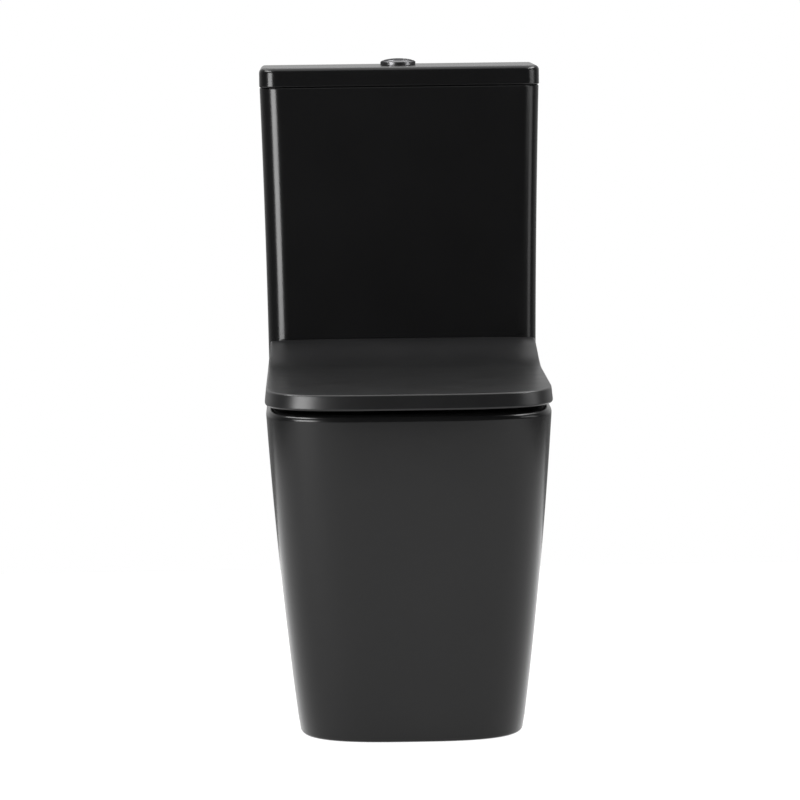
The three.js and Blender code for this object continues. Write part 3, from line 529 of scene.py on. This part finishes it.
def cistern_ring(z, inset):
    outline = block_outline(
        cistern_half(z) - inset,
        CISTERN_BOX[0].y + inset,
        WALL_Y - inset,
        max(CORNER - inset, 8 * MM),
        8 * MM,
    )
    return at_height(outline, z)


def make_cistern():
    """A tank open at the top: outside, lip, inside and floor in one skin, then its holes."""
    wall, floor = 9 * MM, CISTERN_BOTTOM_Z + 10 * MM
    tall, deep = 24 * MM, 14 * MM
    lip = 2 * MM
    rings = []
    for sine, cosine in quarter_turn(12):
        rings.append(cistern_ring(CISTERN_BOTTOM_Z + tall * (1 - cosine), deep * (1 - sine)))
    for z in np.linspace(CISTERN_BOTTOM_Z + tall, CISTERN_TOP_Z - lip, 12)[1:-1]:
        rings.append(cistern_ring(z, 0))
    for sine, cosine in quarter_turn(5):
        rings.append(cistern_ring(CISTERN_TOP_Z - lip * (1 - sine), lip * (1 - cosine)))
    for sine, cosine in quarter_turn(5)[::-1]:
        rings.append(cistern_ring(CISTERN_TOP_Z - lip * (1 - sine), wall - lip * (1 - cosine)))
    sump_tall, sump_deep = 16 * MM, 9 * MM
    for z in np.linspace(CISTERN_TOP_Z - lip, floor + sump_tall, 10)[1:]:
        rings.append(cistern_ring(z, wall))
    for sine, cosine in quarter_turn(6)[1:]:
        rings.append(cistern_ring(floor + sump_tall * (1 - sine), wall + sump_deep * (1 - cosine)))
    cistern = skin("cistern_visual", rings)
    low, high = CISTERN_BOTTOM_Z - MM, floor + MM
    holes = [cylinder("valve_hole", 30.5 * MM, low, high, 0, CISTERN_MID_Y, 64)]
    for side in (-1, 1):
        holes.append(cylinder("bolt_hole", FIXING_HOLE, low, high, side * BOLT_X, CISTERN_MID_Y))
        holes.append(cylinder("inlet_hole", 11.5 * MM, low, high, side * INLET_X, CISTERN_MID_Y))
    return combined(cistern, holes, "DIFFERENCE")


LID_TOP_Z = CISTERN_LID_BOX[1].z
LID_CORNER = 22 * MM


def lid_ring(z, inset):
    outline = block_outline(
        CISTERN_LID_BOX[1].x - inset,
        CISTERN_LID_BOX[0].y + inset,
        WALL_Y - inset,
        max(LID_CORNER - inset, 6 * MM),
        max(8 * MM - inset, 3 * MM),
    )
    return at_height(outline, z)


def make_cistern_lid():
    """A slab with rounded top edges, a shallow hollow under it and a rib that locates it."""
    rib_end = CISTERN_LID_BOX[0].z
    under = rib_end + 6.5 * MM
    inside = LID_TOP_Z - 10.7 * MM
    low_edge, top_edge, small = 1.6 * MM, 6 * MM, MM
    hollow, fillet = 20 * MM, 3 * MM
    rings = [cistern_ring(inside, hollow)]
    for sine, cosine in quarter_turn(5)[1:]:
        rings.append(cistern_ring(inside - fillet * (1 - cosine), hollow - fillet * sine))
    rib = [
        (rib_end + small, 17),
        (rib_end, 16),
        (rib_end, 13),
        (rib_end + small, 12),
        (under - small, 12),
        (under, 11),
    ]
    rings += [cistern_ring(z, inset * MM) for z, inset in rib]
    for sine, cosine in quarter_turn(6):
        rings.append(lid_ring(under + low_edge * (1 - cosine), low_edge * (1 - sine)))
    for sine, cosine in quarter_turn(11):
        rings.append(lid_ring(LID_TOP_Z - top_edge * (1 - sine), top_edge * (1 - cosine)))
    lid = skin("cistern_lid_visual", rings)
    hole = cylinder("button_hole", 20 * MM, inside - MM, LID_TOP_Z + MM, 0, CISTERN_MID_Y, 64)
    return combined(lid, [hole], "DIFFERENCE")


# ------------------------------------------------------------------ seat lid
SEAT_HALF = SEAT_BOX[1].x
SEAT_REAR = SEAT_BOX[1].y
SEAT_LOW_Z = RIM_Z + 4.6 * MM
SEAT_RISE = 28.3 * MM
SEAT_DRAFT = 0.105
SEAT_NOSE = 125 * MM
LID_WALL = 3.5 * MM
LIP_Z = HINGE_Z + 10 * MM
SWING = HINGE_Z - RIM_Z - 1.5 * MM


def lid_top(points):
    """Height of the lid's top: flat in front, an S-shaped rise at the back, lower at the sides."""
    share = np.clip(points[:, 1] / SEAT_REAR, 0, 1) ** 1.5
    rise = share * share * (3 - 2 * share)
    crown = 1 - 0.045 * (np.abs(points[:, 0]) / SEAT_HALF) ** 6
    return SEAT_TOP_Z + SEAT_RISE * rise * crown


def lid_low(points):
    """Height of the skirt's lower edge: its rear corner is turned about the hinge."""
    reach = np.clip(points[:, 1] - HINGE_Y, 0, SWING * 0.99)
    turn = HINGE_Z - np.sqrt(SWING ** 2 - reach ** 2)
    return np.maximum(SEAT_LOW_Z, turn)


def seat_outline(inset, back):
    return d_outline(SEAT_HALF - inset, FRONT_Y + inset, SEAT_NOSE - inset, 3.6, back, 3 * MM)


def towards_spine(ring, share):
    spine = np.c_[np.zeros(len(ring)), np.clip(ring[:, 1], -150 * MM, -60 * MM)]
    return ring * (1 - share) + spine * share


def leaned(ring, inset):
    """Draws a ring in by the skirt's draft, which grows with height."""
    draw = SEAT_DRAFT * np.maximum(ring[:, 2] - SEAT_LOW_Z, 0)
    nose_y = FRONT_Y + SEAT_NOSE
    out = ring.copy()
    out[:, 0] *= 1 - draw / (SEAT_HALF - inset)
    ahead = np.minimum(ring[:, 1] - nose_y, 0)
    out[:, 1] -= ahead * draw / (SEAT_NOSE - inset)
    return out


def lid_skin(name, inset, back, edge, low, drop):
    """The lid's outer body, or with a drop its inside."""
    low_round = 3.2 * MM if edge else 0
    rings = []
    for share in (0.6, 0.3):
        flat = towards_spine(seat_outline(inset + 8 * MM, back - 8 * MM), share)
        rings.append(at_height(flat, SEAT_LOW_Z + 3 * MM if edge else low(flat)))
    if edge:
        for sine, cosine in quarter_turn(7):
            flat = seat_outline(inset + low_round * (1 - sine), back - low_round * (1 - sine))
            rings.append(at_height(flat, low(flat) + low_round * (1 - cosine)))
    else:
        flat = seat_outline(inset, back)
        rings.append(at_height(flat, low(flat)))
    top_round = edge if edge else 2 * MM
    for sine, cosine in quarter_turn(8):
        step = top_round * (1 - cosine)
        flat = seat_outline(inset + step, back - step)
        rings.append(at_height(flat, lid_top(flat) - drop - top_round * (1 - sine)))
    start = seat_outline(inset + top_round, back - top_round)
    for share in np.linspace(0, 0.96, 34)[1:]:
        flat = towards_spine(start, share)
        rings.append(at_height(flat, lid_top(flat) - drop))
    return skin(name, [leaned(ring, inset) for ring in rings])


def make_seat_lid():
    """A thin wrap-over cover, open at the rear over the hinges, with a knuckle on each side."""
    lid = lid_skin("seat_lid_visual", 0, SEAT_REAR, 2.2 * MM, lid_low, 0)
    below = RIM_Z - 2 * MM
    inside_back = SEAT_REAR - LID_WALL
    inner = lid_skin("lid_inside", LID_WALL, inside_back, 0, lambda p: np.full(len(p), below), LID_WALL)
    opening = []
    for z in (below, SEAT_LOW_Z, LIP_Z):
        reach = SEAT_HALF - LID_WALL - SEAT_DRAFT * max(z - SEAT_LOW_Z, 0)
        start, end = HINGE_Y + 4 * MM, SEAT_REAR + 9 * MM
        square = np.array([(-reach, start), (reach, start), (reach, end), (-reach, end)])
        opening.append(at_height(square, z))
    open_back = skin("open_back", opening)
    combined(lid, [inner, open_back], "DIFFERENCE")
    knuckles, bores = [], []
    for side in (-1, 1):
        middle, half, bore_half = side * 58.8 * MM, 6.8 * MM, 9 * MM
        knuckles.append(round_bar(KNUCKLE, middle, half, KNUCKLE_EDGE))
        web = boxed(
            "web",
            (middle - half, HINGE_Y - 4 * MM, HINGE_Z),
            (middle + half, HINGE_Y + 6 * MM, HINGE_Z + 8.5 * MM),
        )
        knuckles.append(softened(web, 0.6 * MM))
        ends = middle - bore_half, middle + bore_half
        bores.append(cylinder_x("bore", PIN_BORE, *ends, HINGE_Y, HINGE_Z))
    combined(lid, knuckles, "UNION")
    return combined(lid, bores, "DIFFERENCE")


# ------------------------------------------------------------------ seat ring
def polar(outline, centre_y, angles):
    """The closed outline resampled at the given angles about (0, centre_y)."""
    away = outline - np.array((0, centre_y))
    at = np.arctan2(away[:, 1], away[:, 0])
    order = np.argsort(at)
    radius = np.interp(angles, at[order], np.hypot(away[:, 0], away[:, 1])[order], period=2 * math.pi)
    return np.c_[radius * np.cos(angles), centre_y + radius * np.sin(angles)]


def make_seat_ring():
    """A ring of one rounded section swept between two outlines, with a hinge arm on each side."""
    low, top = RING_BOX[0].z, RIM_Z + 18 * MM
    centre = -112 * MM
    angles = np.linspace(-math.pi, math.pi, 288, endpoint=False)
    half = SEAT_HALF - LID_WALL - 3.7 * MM
    outer = d_outline(half, FRONT_Y + LID_WALL + 3.5 * MM, SEAT_NOSE - 6 * MM, 3.6, 78 * MM, 20 * MM)
    outer = polar(outer, centre, angles)
    hole = polar(egg_outline(112 * MM, -253 * MM, 26 * MM, 2.4, 400), centre, angles)
    inward = hole - outer
    width = np.linalg.norm(inward, axis=1)[:, None]
    inward = inward / width
    section = []
    low_edge, outer_edge, inner_edge = 1.5 * MM, 3 * MM, 5 * MM
    for sine, cosine in quarter_turn(5):
        section.append((outer, low_edge * (1 - sine), low + low_edge * (1 - cosine)))
    for sine, cosine in quarter_turn(7):
        section.append((outer, outer_edge * (1 - cosine), top - outer_edge * (1 - sine)))
    for share in np.linspace(0, 1, 9)[1:-1]:
        section.append((None, share, top - 0.8 * MM * math.sin(math.pi * share) ** 2))
    for sine, cosine in quarter_turn(8)[::-1]:
        section.append((hole, -inner_edge * (1 - cosine), top - inner_edge * (1 - sine)))
    for sine, cosine in quarter_turn(5)[::-1]:
        section.append((hole, -low_edge * (1 - sine), low + low_edge * (1 - cosine)))
    rings = []
    for base, offset, z in section:
        if base is None:
            start, end = outer + inward * outer_edge, hole - inward * inner_edge
            flat = mix(start, end, offset)
        else:
            flat = base + inward * offset
        rings.append(at_height(flat, z))
    ring = skin("seat_ring_visual", rings, looped=True)
    arms, bores = [], []
    # the hinge arm's side view, (y, z) from the ring's rear up to its knuckle
    profile = np.array([(52, 407), (80, 407), (100.5, 428.5), (91.5, 437.6), (78, 428), (66, 417)]) * MM
    for side in (-1, 1):
        ends = sorted((side * 87.8 * MM, side * 99 * MM))
        arm = skin("arm", [np.c_[np.full(6, x), profile] for x in ends])
        arms.append(softened(arm, 0.8 * MM, degrees=20))
        middle, half = sum(ends) / 2, 5.6 * MM
        arms.append(round_bar(KNUCKLE, middle, half, KNUCKLE_EDGE))
        bores.append(cylinder_x("bore", PIN_BORE, ends[0] - MM, ends[1] + MM, HINGE_Y, HINGE_Z))
    combined(ring, arms, "UNION")
    return combined(ring, bores, "DIFFERENCE")


# ------------------------------------------------------------------ flush button
BUTTON_TOP_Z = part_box("full_flush_button")[1].z
BUTTON_LOW_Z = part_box("full_flush_button")[0].z
DOME_RISE, DOME_RADIUS = 5.4 * MM, 22.8 * MM
BUTTON_RADIUS = 18 * MM
BUTTON_SPLIT_X = 8 * MM


def dome_z(radius):
    return BUTTON_TOP_Z - DOME_RISE * (1 - math.sqrt(1 - (radius / DOME_RADIUS) ** 2))


def make_collar():
    """The fixed bezel round the button: a shank through the lid under a domed flange."""
    bore, outer, shank = BUTTON_RADIUS + 0.3 * MM, 22.5 * MM, 19.7 * MM
    low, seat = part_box("button_collar")[0].z, LID_TOP_Z + 0.3 * MM
    profile = [(bore, low), (shank, low), (shank, seat), (outer, seat)]
    profile += [(r, dome_z(r)) for r in mix(outer, bore + 1.2 * MM, np.linspace(0, 1, 8) ** 2)]
    profile += [(bore, dome_z(bore) - 0.7 * MM)]
    return turned("button_collar_visual", profile, at=(0, CISTERN_MID_Y, 0), steps=96, round_by=0.25 * MM)


def make_button(side):
    """One half of the domed button, on its side of the split."""
    edge = 0.7 * MM
    profile = [(0, BUTTON_LOW_Z), (BUTTON_RADIUS, BUTTON_LOW_Z)]
    for sine, cosine in quarter_turn(5)[::-1]:
        radius = BUTTON_RADIUS - edge * (1 - sine)
        profile.append((radius, dome_z(radius) - edge * (1 - cosine)))
    profile += [(r, dome_z(r)) for r in np.linspace(BUTTON_RADIUS - edge, 0, 14)[1:]]
    button = turned("button", profile, at=(0, CISTERN_MID_Y, 0), steps=96)
    cut_x = BUTTON_SPLIT_X + side * 0.4 * MM
    reach = 30 * MM
    low_x, high_x = (-reach, cut_x) if side > 0 else (cut_x, reach)
    away = boxed(
        "away",
        (low_x, CISTERN_MID_Y - reach, BUTTON_LOW_Z - MM),
        (high_x, CISTERN_MID_Y + reach, BUTTON_TOP_Z + MM),
    )
    combined(button, [away], "DIFFERENCE")
    return softened(button, 0.35 * MM, segments=2, degrees=50)


# ------------------------------------------------------------------ hinge posts and small parts
def make_hinge_post(node, x):
    """A round foot, a stem and the barrel that holds the pin."""
    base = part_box(node)[0].z
    bore, foot, step = 4.5 * MM, 16 * MM, base + 3.7 * MM
    disc = [(bore, base), (foot, base), (foot, step), (bore, step)]
    post = turned("post", disc, at=(x, HINGE_Y, 0), steps=64, round_by=MM)
    half = 9.5 * MM
    stem = boxed(
        "stem",
        (x - half, HINGE_Y - KNUCKLE, base + 2 * MM),
        (x + half, HINGE_Y + KNUCKLE, HINGE_Z),
    )
    barrel = round_bar(KNUCKLE, x, half, KNUCKLE_EDGE, 64)
    combined(post, [stem, barrel], "UNION")
    bores = [
        cylinder("bolt_bore", bore, base - MM, RIM_Z + 12 * MM, x, HINGE_Y),
        cylinder_x("pin_bore", PIN_BORE, x - 11 * MM, x + 11 * MM, HINGE_Y, HINGE_Z),
    ]
    return combined(post, bores, "DIFFERENCE")


def make_pin(node):
    low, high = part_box(node)
    return round_bar(PIN, (low.x + high.x) / 2, (high.x - low.x) / 2, 0.6 * MM)


def make_buffer(node):
    """A rubber foot: a low round pad with a soft edge and a shallow dimple."""
    low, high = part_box(node)
    radius = (high.x - low.x) / 2
    tall = high.z - low.z
    dimple = [(0, 0.35 * tall), (0.3 * radius, 0.08 * tall), (0.45 * radius, 0)]
    profile = dimple + [(radius, 0), (radius, tall), (0, tall)]
    centre = ((low.x + high.x) / 2, (low.y + high.y) / 2, low.z)
    return turned("buffer", profile, at=centre, round_by=min(0.3 * tall, 1.2 * MM))


def make_cap(node, side):
    """Side screw cover: a domed disc with a fine step at its rim."""
    low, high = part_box(node)
    radius = (high.z - low.z) / 2
    deep = high.x - low.x
    face = deep - MM
    profile = [(0, 0), (radius, 0), (radius, face), (radius - 0.5 * MM, face + 0.3 * MM)]
    profile += [(radius * r, deep - 0.7 * MM * r ** 2) for r in (0.85, 0.6, 0.3, 0)]
    cap = turned("cap", profile, steps=56)
    cap.data.transform(Matrix.Rotation(side * math.pi / 2, 4, "Y"))
    start = low.x if side > 0 else high.x
    cap.data.transform(Matrix.Translation((start, (low.y + high.y) / 2, (low.z + high.z) / 2)))
    return cap


# ------------------------------------------------------------------ materials
def new_material(name):
    material = bpy.data.materials.new(name)
    material.use_nodes = True
    nodes, links = material.node_tree.nodes, material.node_tree.links
    return material, nodes, links, nodes["Principled BSDF"]


def noise(nodes, links, scale, detail=4.0):
    place = nodes.new("ShaderNodeTexCoord")
    texture = nodes.new("ShaderNodeTexNoise")
    texture.inputs["Scale"].default_value = scale
    texture.inputs["Detail"].default_value = detail
    links.new(place.outputs["Object"], texture.inputs["Vector"])
    return texture.outputs["Fac"]


def ramped(nodes, links, value, ends):
    """A straight ramp from one range of values to another."""
    ramp = nodes.new("ShaderNodeMapRange")
    for key, end in zip(("From Min", "From Max", "To Min", "To Max"), ends):
        ramp.inputs[key].default_value = end
    links.new(value, ramp.inputs["Value"])
    return ramp.outputs["Result"]


def tinted(nodes, links, fac, low, high):
    ramp = nodes.new("ShaderNodeValToRGB")
    ramp.color_ramp.elements[0].position = 0.3
    ramp.color_ramp.elements[0].color = (*low, 1)
    ramp.color_ramp.elements[1].position = 0.7
    ramp.color_ramp.elements[1].color = (*high, 1)
    links.new(fac, ramp.inputs["Fac"])
    return ramp.outputs["Color"]


def surface(name, low, high, rough, metallic=0.0, bump=(200.0, 0.02), level=0.5, edge=1.0):
    """A procedural finish: its colour, roughness and relief all vary a little over the surface.

    bump is the relief's scale and strength, level how much the surface mirrors, and edge how
    bright a metal gets at a grazing angle.
    """
    tone_scale = 9.0
    material, nodes, links, shader = new_material(name)
    shader.inputs["Metallic"].default_value = metallic
    shader.inputs["Specular IOR Level"].default_value = level
    shader.inputs["Specular Tint"].default_value = (edge, edge, edge, 1)
    tone = noise(nodes, links, tone_scale)
    links.new(tinted(nodes, links, tone, low, high), shader.inputs["Base Color"])
    wear = noise(nodes, links, tone_scale * 3)
    links.new(ramped(nodes, links, wear, (0.25, 0.75, *rough)), shader.inputs["Roughness"])
    relief = nodes.new("ShaderNodeBump")
    relief.inputs["Strength"].default_value = bump[1]
    relief.inputs["Distance"].default_value = 0.0005
    links.new(noise(nodes, links, bump[0], 2.0), relief.inputs["Height"])
    links.new(relief.outputs["Normal"], shader.inputs["Normal"])
    return material


def grey(value):
    """A neutral grey, slightly cool."""
    return (value, value, value * 1.03)


MATERIALS = {
    "black_ceramic": surface(
        "satin black glaze",
        grey(0.0042), grey(0.005), (0.2, 0.23),
        bump=(90.0, 0.03),
        level=0.27,
    ),
    "black_seat": surface(
        "satin black moulding",
        grey(0.0065), grey(0.008), (0.3, 0.35),
        bump=(700.0, 0.05),
        level=0.32,
    ),
    "chrome": surface(
        "polished metal",
        grey(0.13), grey(0.16), (0.3, 0.34),
        metallic=1.0,
        bump=(400.0, 0.01),
        edge=0.3,
    ),
    "stainless": surface("brushed steel", grey(0.4), grey(0.48), (0.25, 0.35), metallic=1.0),
    "black_rubber": surface("soft rubber", grey(0.012), grey(0.018), (0.7, 0.85), bump=(900.0, 0.15)),
    "white_plastic": surface("white moulding", (0.72, 0.72, 0.69), (0.76, 0.76, 0.73), (0.4, 0.5)),
    "blue_plastic": surface("blue moulding", (0.03, 0.11, 0.33), (0.035, 0.125, 0.37), (0.4, 0.5)),
    "grey_plastic": surface("grey moulding", (0.24, 0.26, 0.27), (0.28, 0.3, 0.31), (0.4, 0.5)),
}

# ------------------------------------------------------------------ the pieces
BODY_OF = {n: body for body, nodes in frame["record"]["behaviour"]["bodies"].items() for n in nodes}
SLOT_OF = {row["node"]: row["material_slot"] for row in frame["record"]["subparts"]}


def finished(obj, node, degrees):
    smoothed(obj.data, degrees)
    obj.data.materials.clear()
    obj.data.materials.append(MATERIALS[SLOT_OF[node]])


def built(obj, node, degrees=34):
    """Puts a finished piece in its place: it stands for one CAD node and takes its finish."""
    obj.name = node + "_visual"
    finished(obj, node, degrees)
    shading = obj.modifiers.new("even shading", "WEIGHTED_NORMAL")
    shading.keep_sharp = True
    shading.weight = 60
    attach(obj, BODY_OF[node])
    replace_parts(obj, node)


built(make_pan(), "pan")
built(make_cistern(), "cistern")
built(make_cistern_lid(), "cistern_lid")
built(make_seat_lid(), "seat_lid")
built(make_seat_ring(), "seat_ring")
built(make_collar(), "button_collar", 40)
built(make_button(-1), "full_flush_button", 40)
built(make_button(1), "half_flush_button", 40)
for hand, side in (("left", -1), ("right", 1)):
    built(make_hinge_post(f"hinge_post_{hand}", side * HINGE_X), f"hinge_post_{hand}")
    built(make_pin(f"hinge_pin_{hand}"), f"hinge_pin_{hand}")
    built(make_buffer(f"lid_buffer_{hand}"), f"lid_buffer_{hand}")
    built(make_cap(f"screw_cap_{hand}", side), f"screw_cap_{hand}")
    for end in ("front", "rear"):
        built(make_buffer(f"ring_buffer_{end}_{hand}"), f"ring_buffer_{end}_{hand}")

replaced = {n for obj in bpy.data.objects for n in obj.get("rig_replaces", [])}
for node, obj in frame["nodes"].items():
    if node in replaced:
        continue
    finished(obj, node, 40)
    rounding = obj.modifiers.new("rounded edges", "BEVEL")
    rounding.width = 0.3 * MM
    rounding.segments = 2
    rounding.limit_method = "ANGLE"
    rounding.angle_limit = math.radians(50)

# ------------------------------------------------------------------ studio
FLOOR_GLOW = (0.8, 1.05)  # near the object, where the lamps add to it, and far away
WORLD_FRONT = 0.03
WORLD_BACK = 0.8
WORLD_LOW = 0.35  # how much of it is left below the floor's edge


def in_scene(obj):
    bpy.context.scene.collection.objects.link(obj)
    return obj


def make_floor():
    floor = boxed("floor", (-1.4, -1.5, -0.02), (1.4, 1.2, 0))
    material, nodes, links, shader = new_material("pale floor")
    shader.inputs["Roughness"].default_value = 0.6
    shader.inputs["Specular IOR Level"].default_value = 0.1
    tone = tinted(nodes, links, noise(nodes, links, 3.0), (0.24, 0.24, 0.24), (0.26, 0.26, 0.26))
    links.new(tone, shader.inputs["Base Color"])
    shader.inputs["Emission Color"].default_value = (1, 1, 1, 1)
    place = nodes.new("ShaderNodeTexCoord")
    away = nodes.new("ShaderNodeVectorMath")
    away.operation = "LENGTH"
    links.new(place.outputs["Object"], away.inputs[0])
    glow = ramped(nodes, links, away.outputs["Value"], (0.5, 1.6, *FLOOR_GLOW))
    links.new(glow, shader.inputs["Emission Strength"])
    floor.data.materials.append(material)


def soft_light(name, position, target, wide, tall, watts):
    lamp = bpy.data.lights.new(name, "AREA")
    lamp.shape = "RECTANGLE"
    lamp.size = wide
    lamp.size_y = tall
    lamp.energy = watts
    obj = in_scene(bpy.data.objects.new(name, lamp))
    obj.location = position
    obj.rotation_euler = (Vector(target) - Vector(position)).to_track_quat("-Z", "Y").to_euler()


def make_world():
    """White to the camera; to the object it is dim in front and bright behind."""
    world = bpy.data.worlds.new("studio")
    bpy.context.scene.world = world
    world.use_nodes = True
    nodes, links = world.node_tree.nodes, world.node_tree.links
    nodes.clear()
    out = nodes.new("ShaderNodeOutputWorld")
    seen = nodes.new("ShaderNodeBackground")
    seen.inputs["Strength"].default_value = 1.0
    seen.inputs["Color"].default_value = (1, 1, 1, 1)
    around = nodes.new("ShaderNodeBackground")
    place = nodes.new("ShaderNodeTexCoord")
    split = nodes.new("ShaderNodeSeparateXYZ")
    links.new(place.outputs["Generated"], split.inputs["Vector"])
    strength = nodes.new("ShaderNodeMath")
    strength.operation = "MULTIPLY"
    backwards = ramped(nodes, links, split.outputs["Y"], (0.1, 0.8, WORLD_FRONT, WORLD_BACK))
    upwards = ramped(nodes, links, split.outputs["Z"], (-0.15, 0, WORLD_LOW, 1))
    links.new(backwards, strength.inputs[0])
    links.new(upwards, strength.inputs[1])
    links.new(strength.outputs["Value"], around.inputs["Strength"])
    chooser = nodes.new("ShaderNodeMixShader")
    path = nodes.new("ShaderNodeLightPath")
    links.new(path.outputs["Is Camera Ray"], chooser.inputs["Fac"])
    links.new(around.outputs["Background"], chooser.inputs[1])
    links.new(seen.outputs["Background"], chooser.inputs[2])
    links.new(chooser.outputs["Shader"], out.inputs["Surface"])


def polar_light(name, azimuth, away, low, high, wide, watts, aim=None):
    """A box standing at an azimuth, measured from the front towards the left."""
    turn = math.radians(azimuth)
    x, y = -away * math.sin(turn), -away * math.cos(turn)
    middle = (low + high) / 2
    target = (0, 0, middle if aim is None else aim)
    soft_light(name, (x, y, middle), target, wide, high - low, watts)


make_floor()
make_world()
soft_light("overhead", (0, 0.6, 2.8), (0, 0.6, 0), 4, 4, 110)
polar_light("left box", 47, 3.0, 0.1, 0.75, 1.4, 50)
polar_light("left upper box", 47, 3.0, 0.75, 1.05, 1.5, 26)
polar_light("left high box", 72, 2.4, 2.4, 3.1, 2.4, 110, aim=0.45)
polar_light("right box", -84, 3.0, 0.1, 0.75, 0.9, 4.5)
polar_light("right upper box", -70, 3.0, 0.75, 1.05, 1.3, 12)
polar_light("right high box", -85, 2.4, 2.4, 3.1, 2.4, 110, aim=0.45)

# ------------------------------------------------------------------ camera
CAMERA_AT = Vector((-0.1029, -5.2291, 0.9297))
CAMERA_PITCH, CAMERA_YAW, CAMERA_ROLL = 0.1037, -0.0184, 0.0123
lens = bpy.data.cameras.new("camera")
lens.lens = 190.5
lens.sensor_width = 36
lens.clip_end = 100
camera = in_scene(bpy.data.objects.new("camera", lens))
pitch_cos, pitch_sin = math.cos(CAMERA_PITCH), math.sin(CAMERA_PITCH)
yaw_cos, yaw_sin = math.cos(CAMERA_YAW), math.sin(CAMERA_YAW)
forward = Vector((-yaw_sin * pitch_cos, yaw_cos * pitch_cos, -pitch_sin))
right = Vector((yaw_cos, yaw_sin, 0))
up = Vector((-yaw_sin * pitch_sin, yaw_cos * pitch_sin, pitch_cos))
roll_cos, roll_sin = math.cos(CAMERA_ROLL), math.sin(CAMERA_ROLL)
side_axis = right * roll_cos - up * roll_sin
top_axis = right * roll_sin + up * roll_cos
turn = Matrix((side_axis, top_axis, -forward)).transposed().to_4x4()
camera.matrix_world = Matrix.Translation(CAMERA_AT) @ turn
bpy.context.scene.camera = camera
bpy.context.scene.view_settings.view_transform = "Standard"
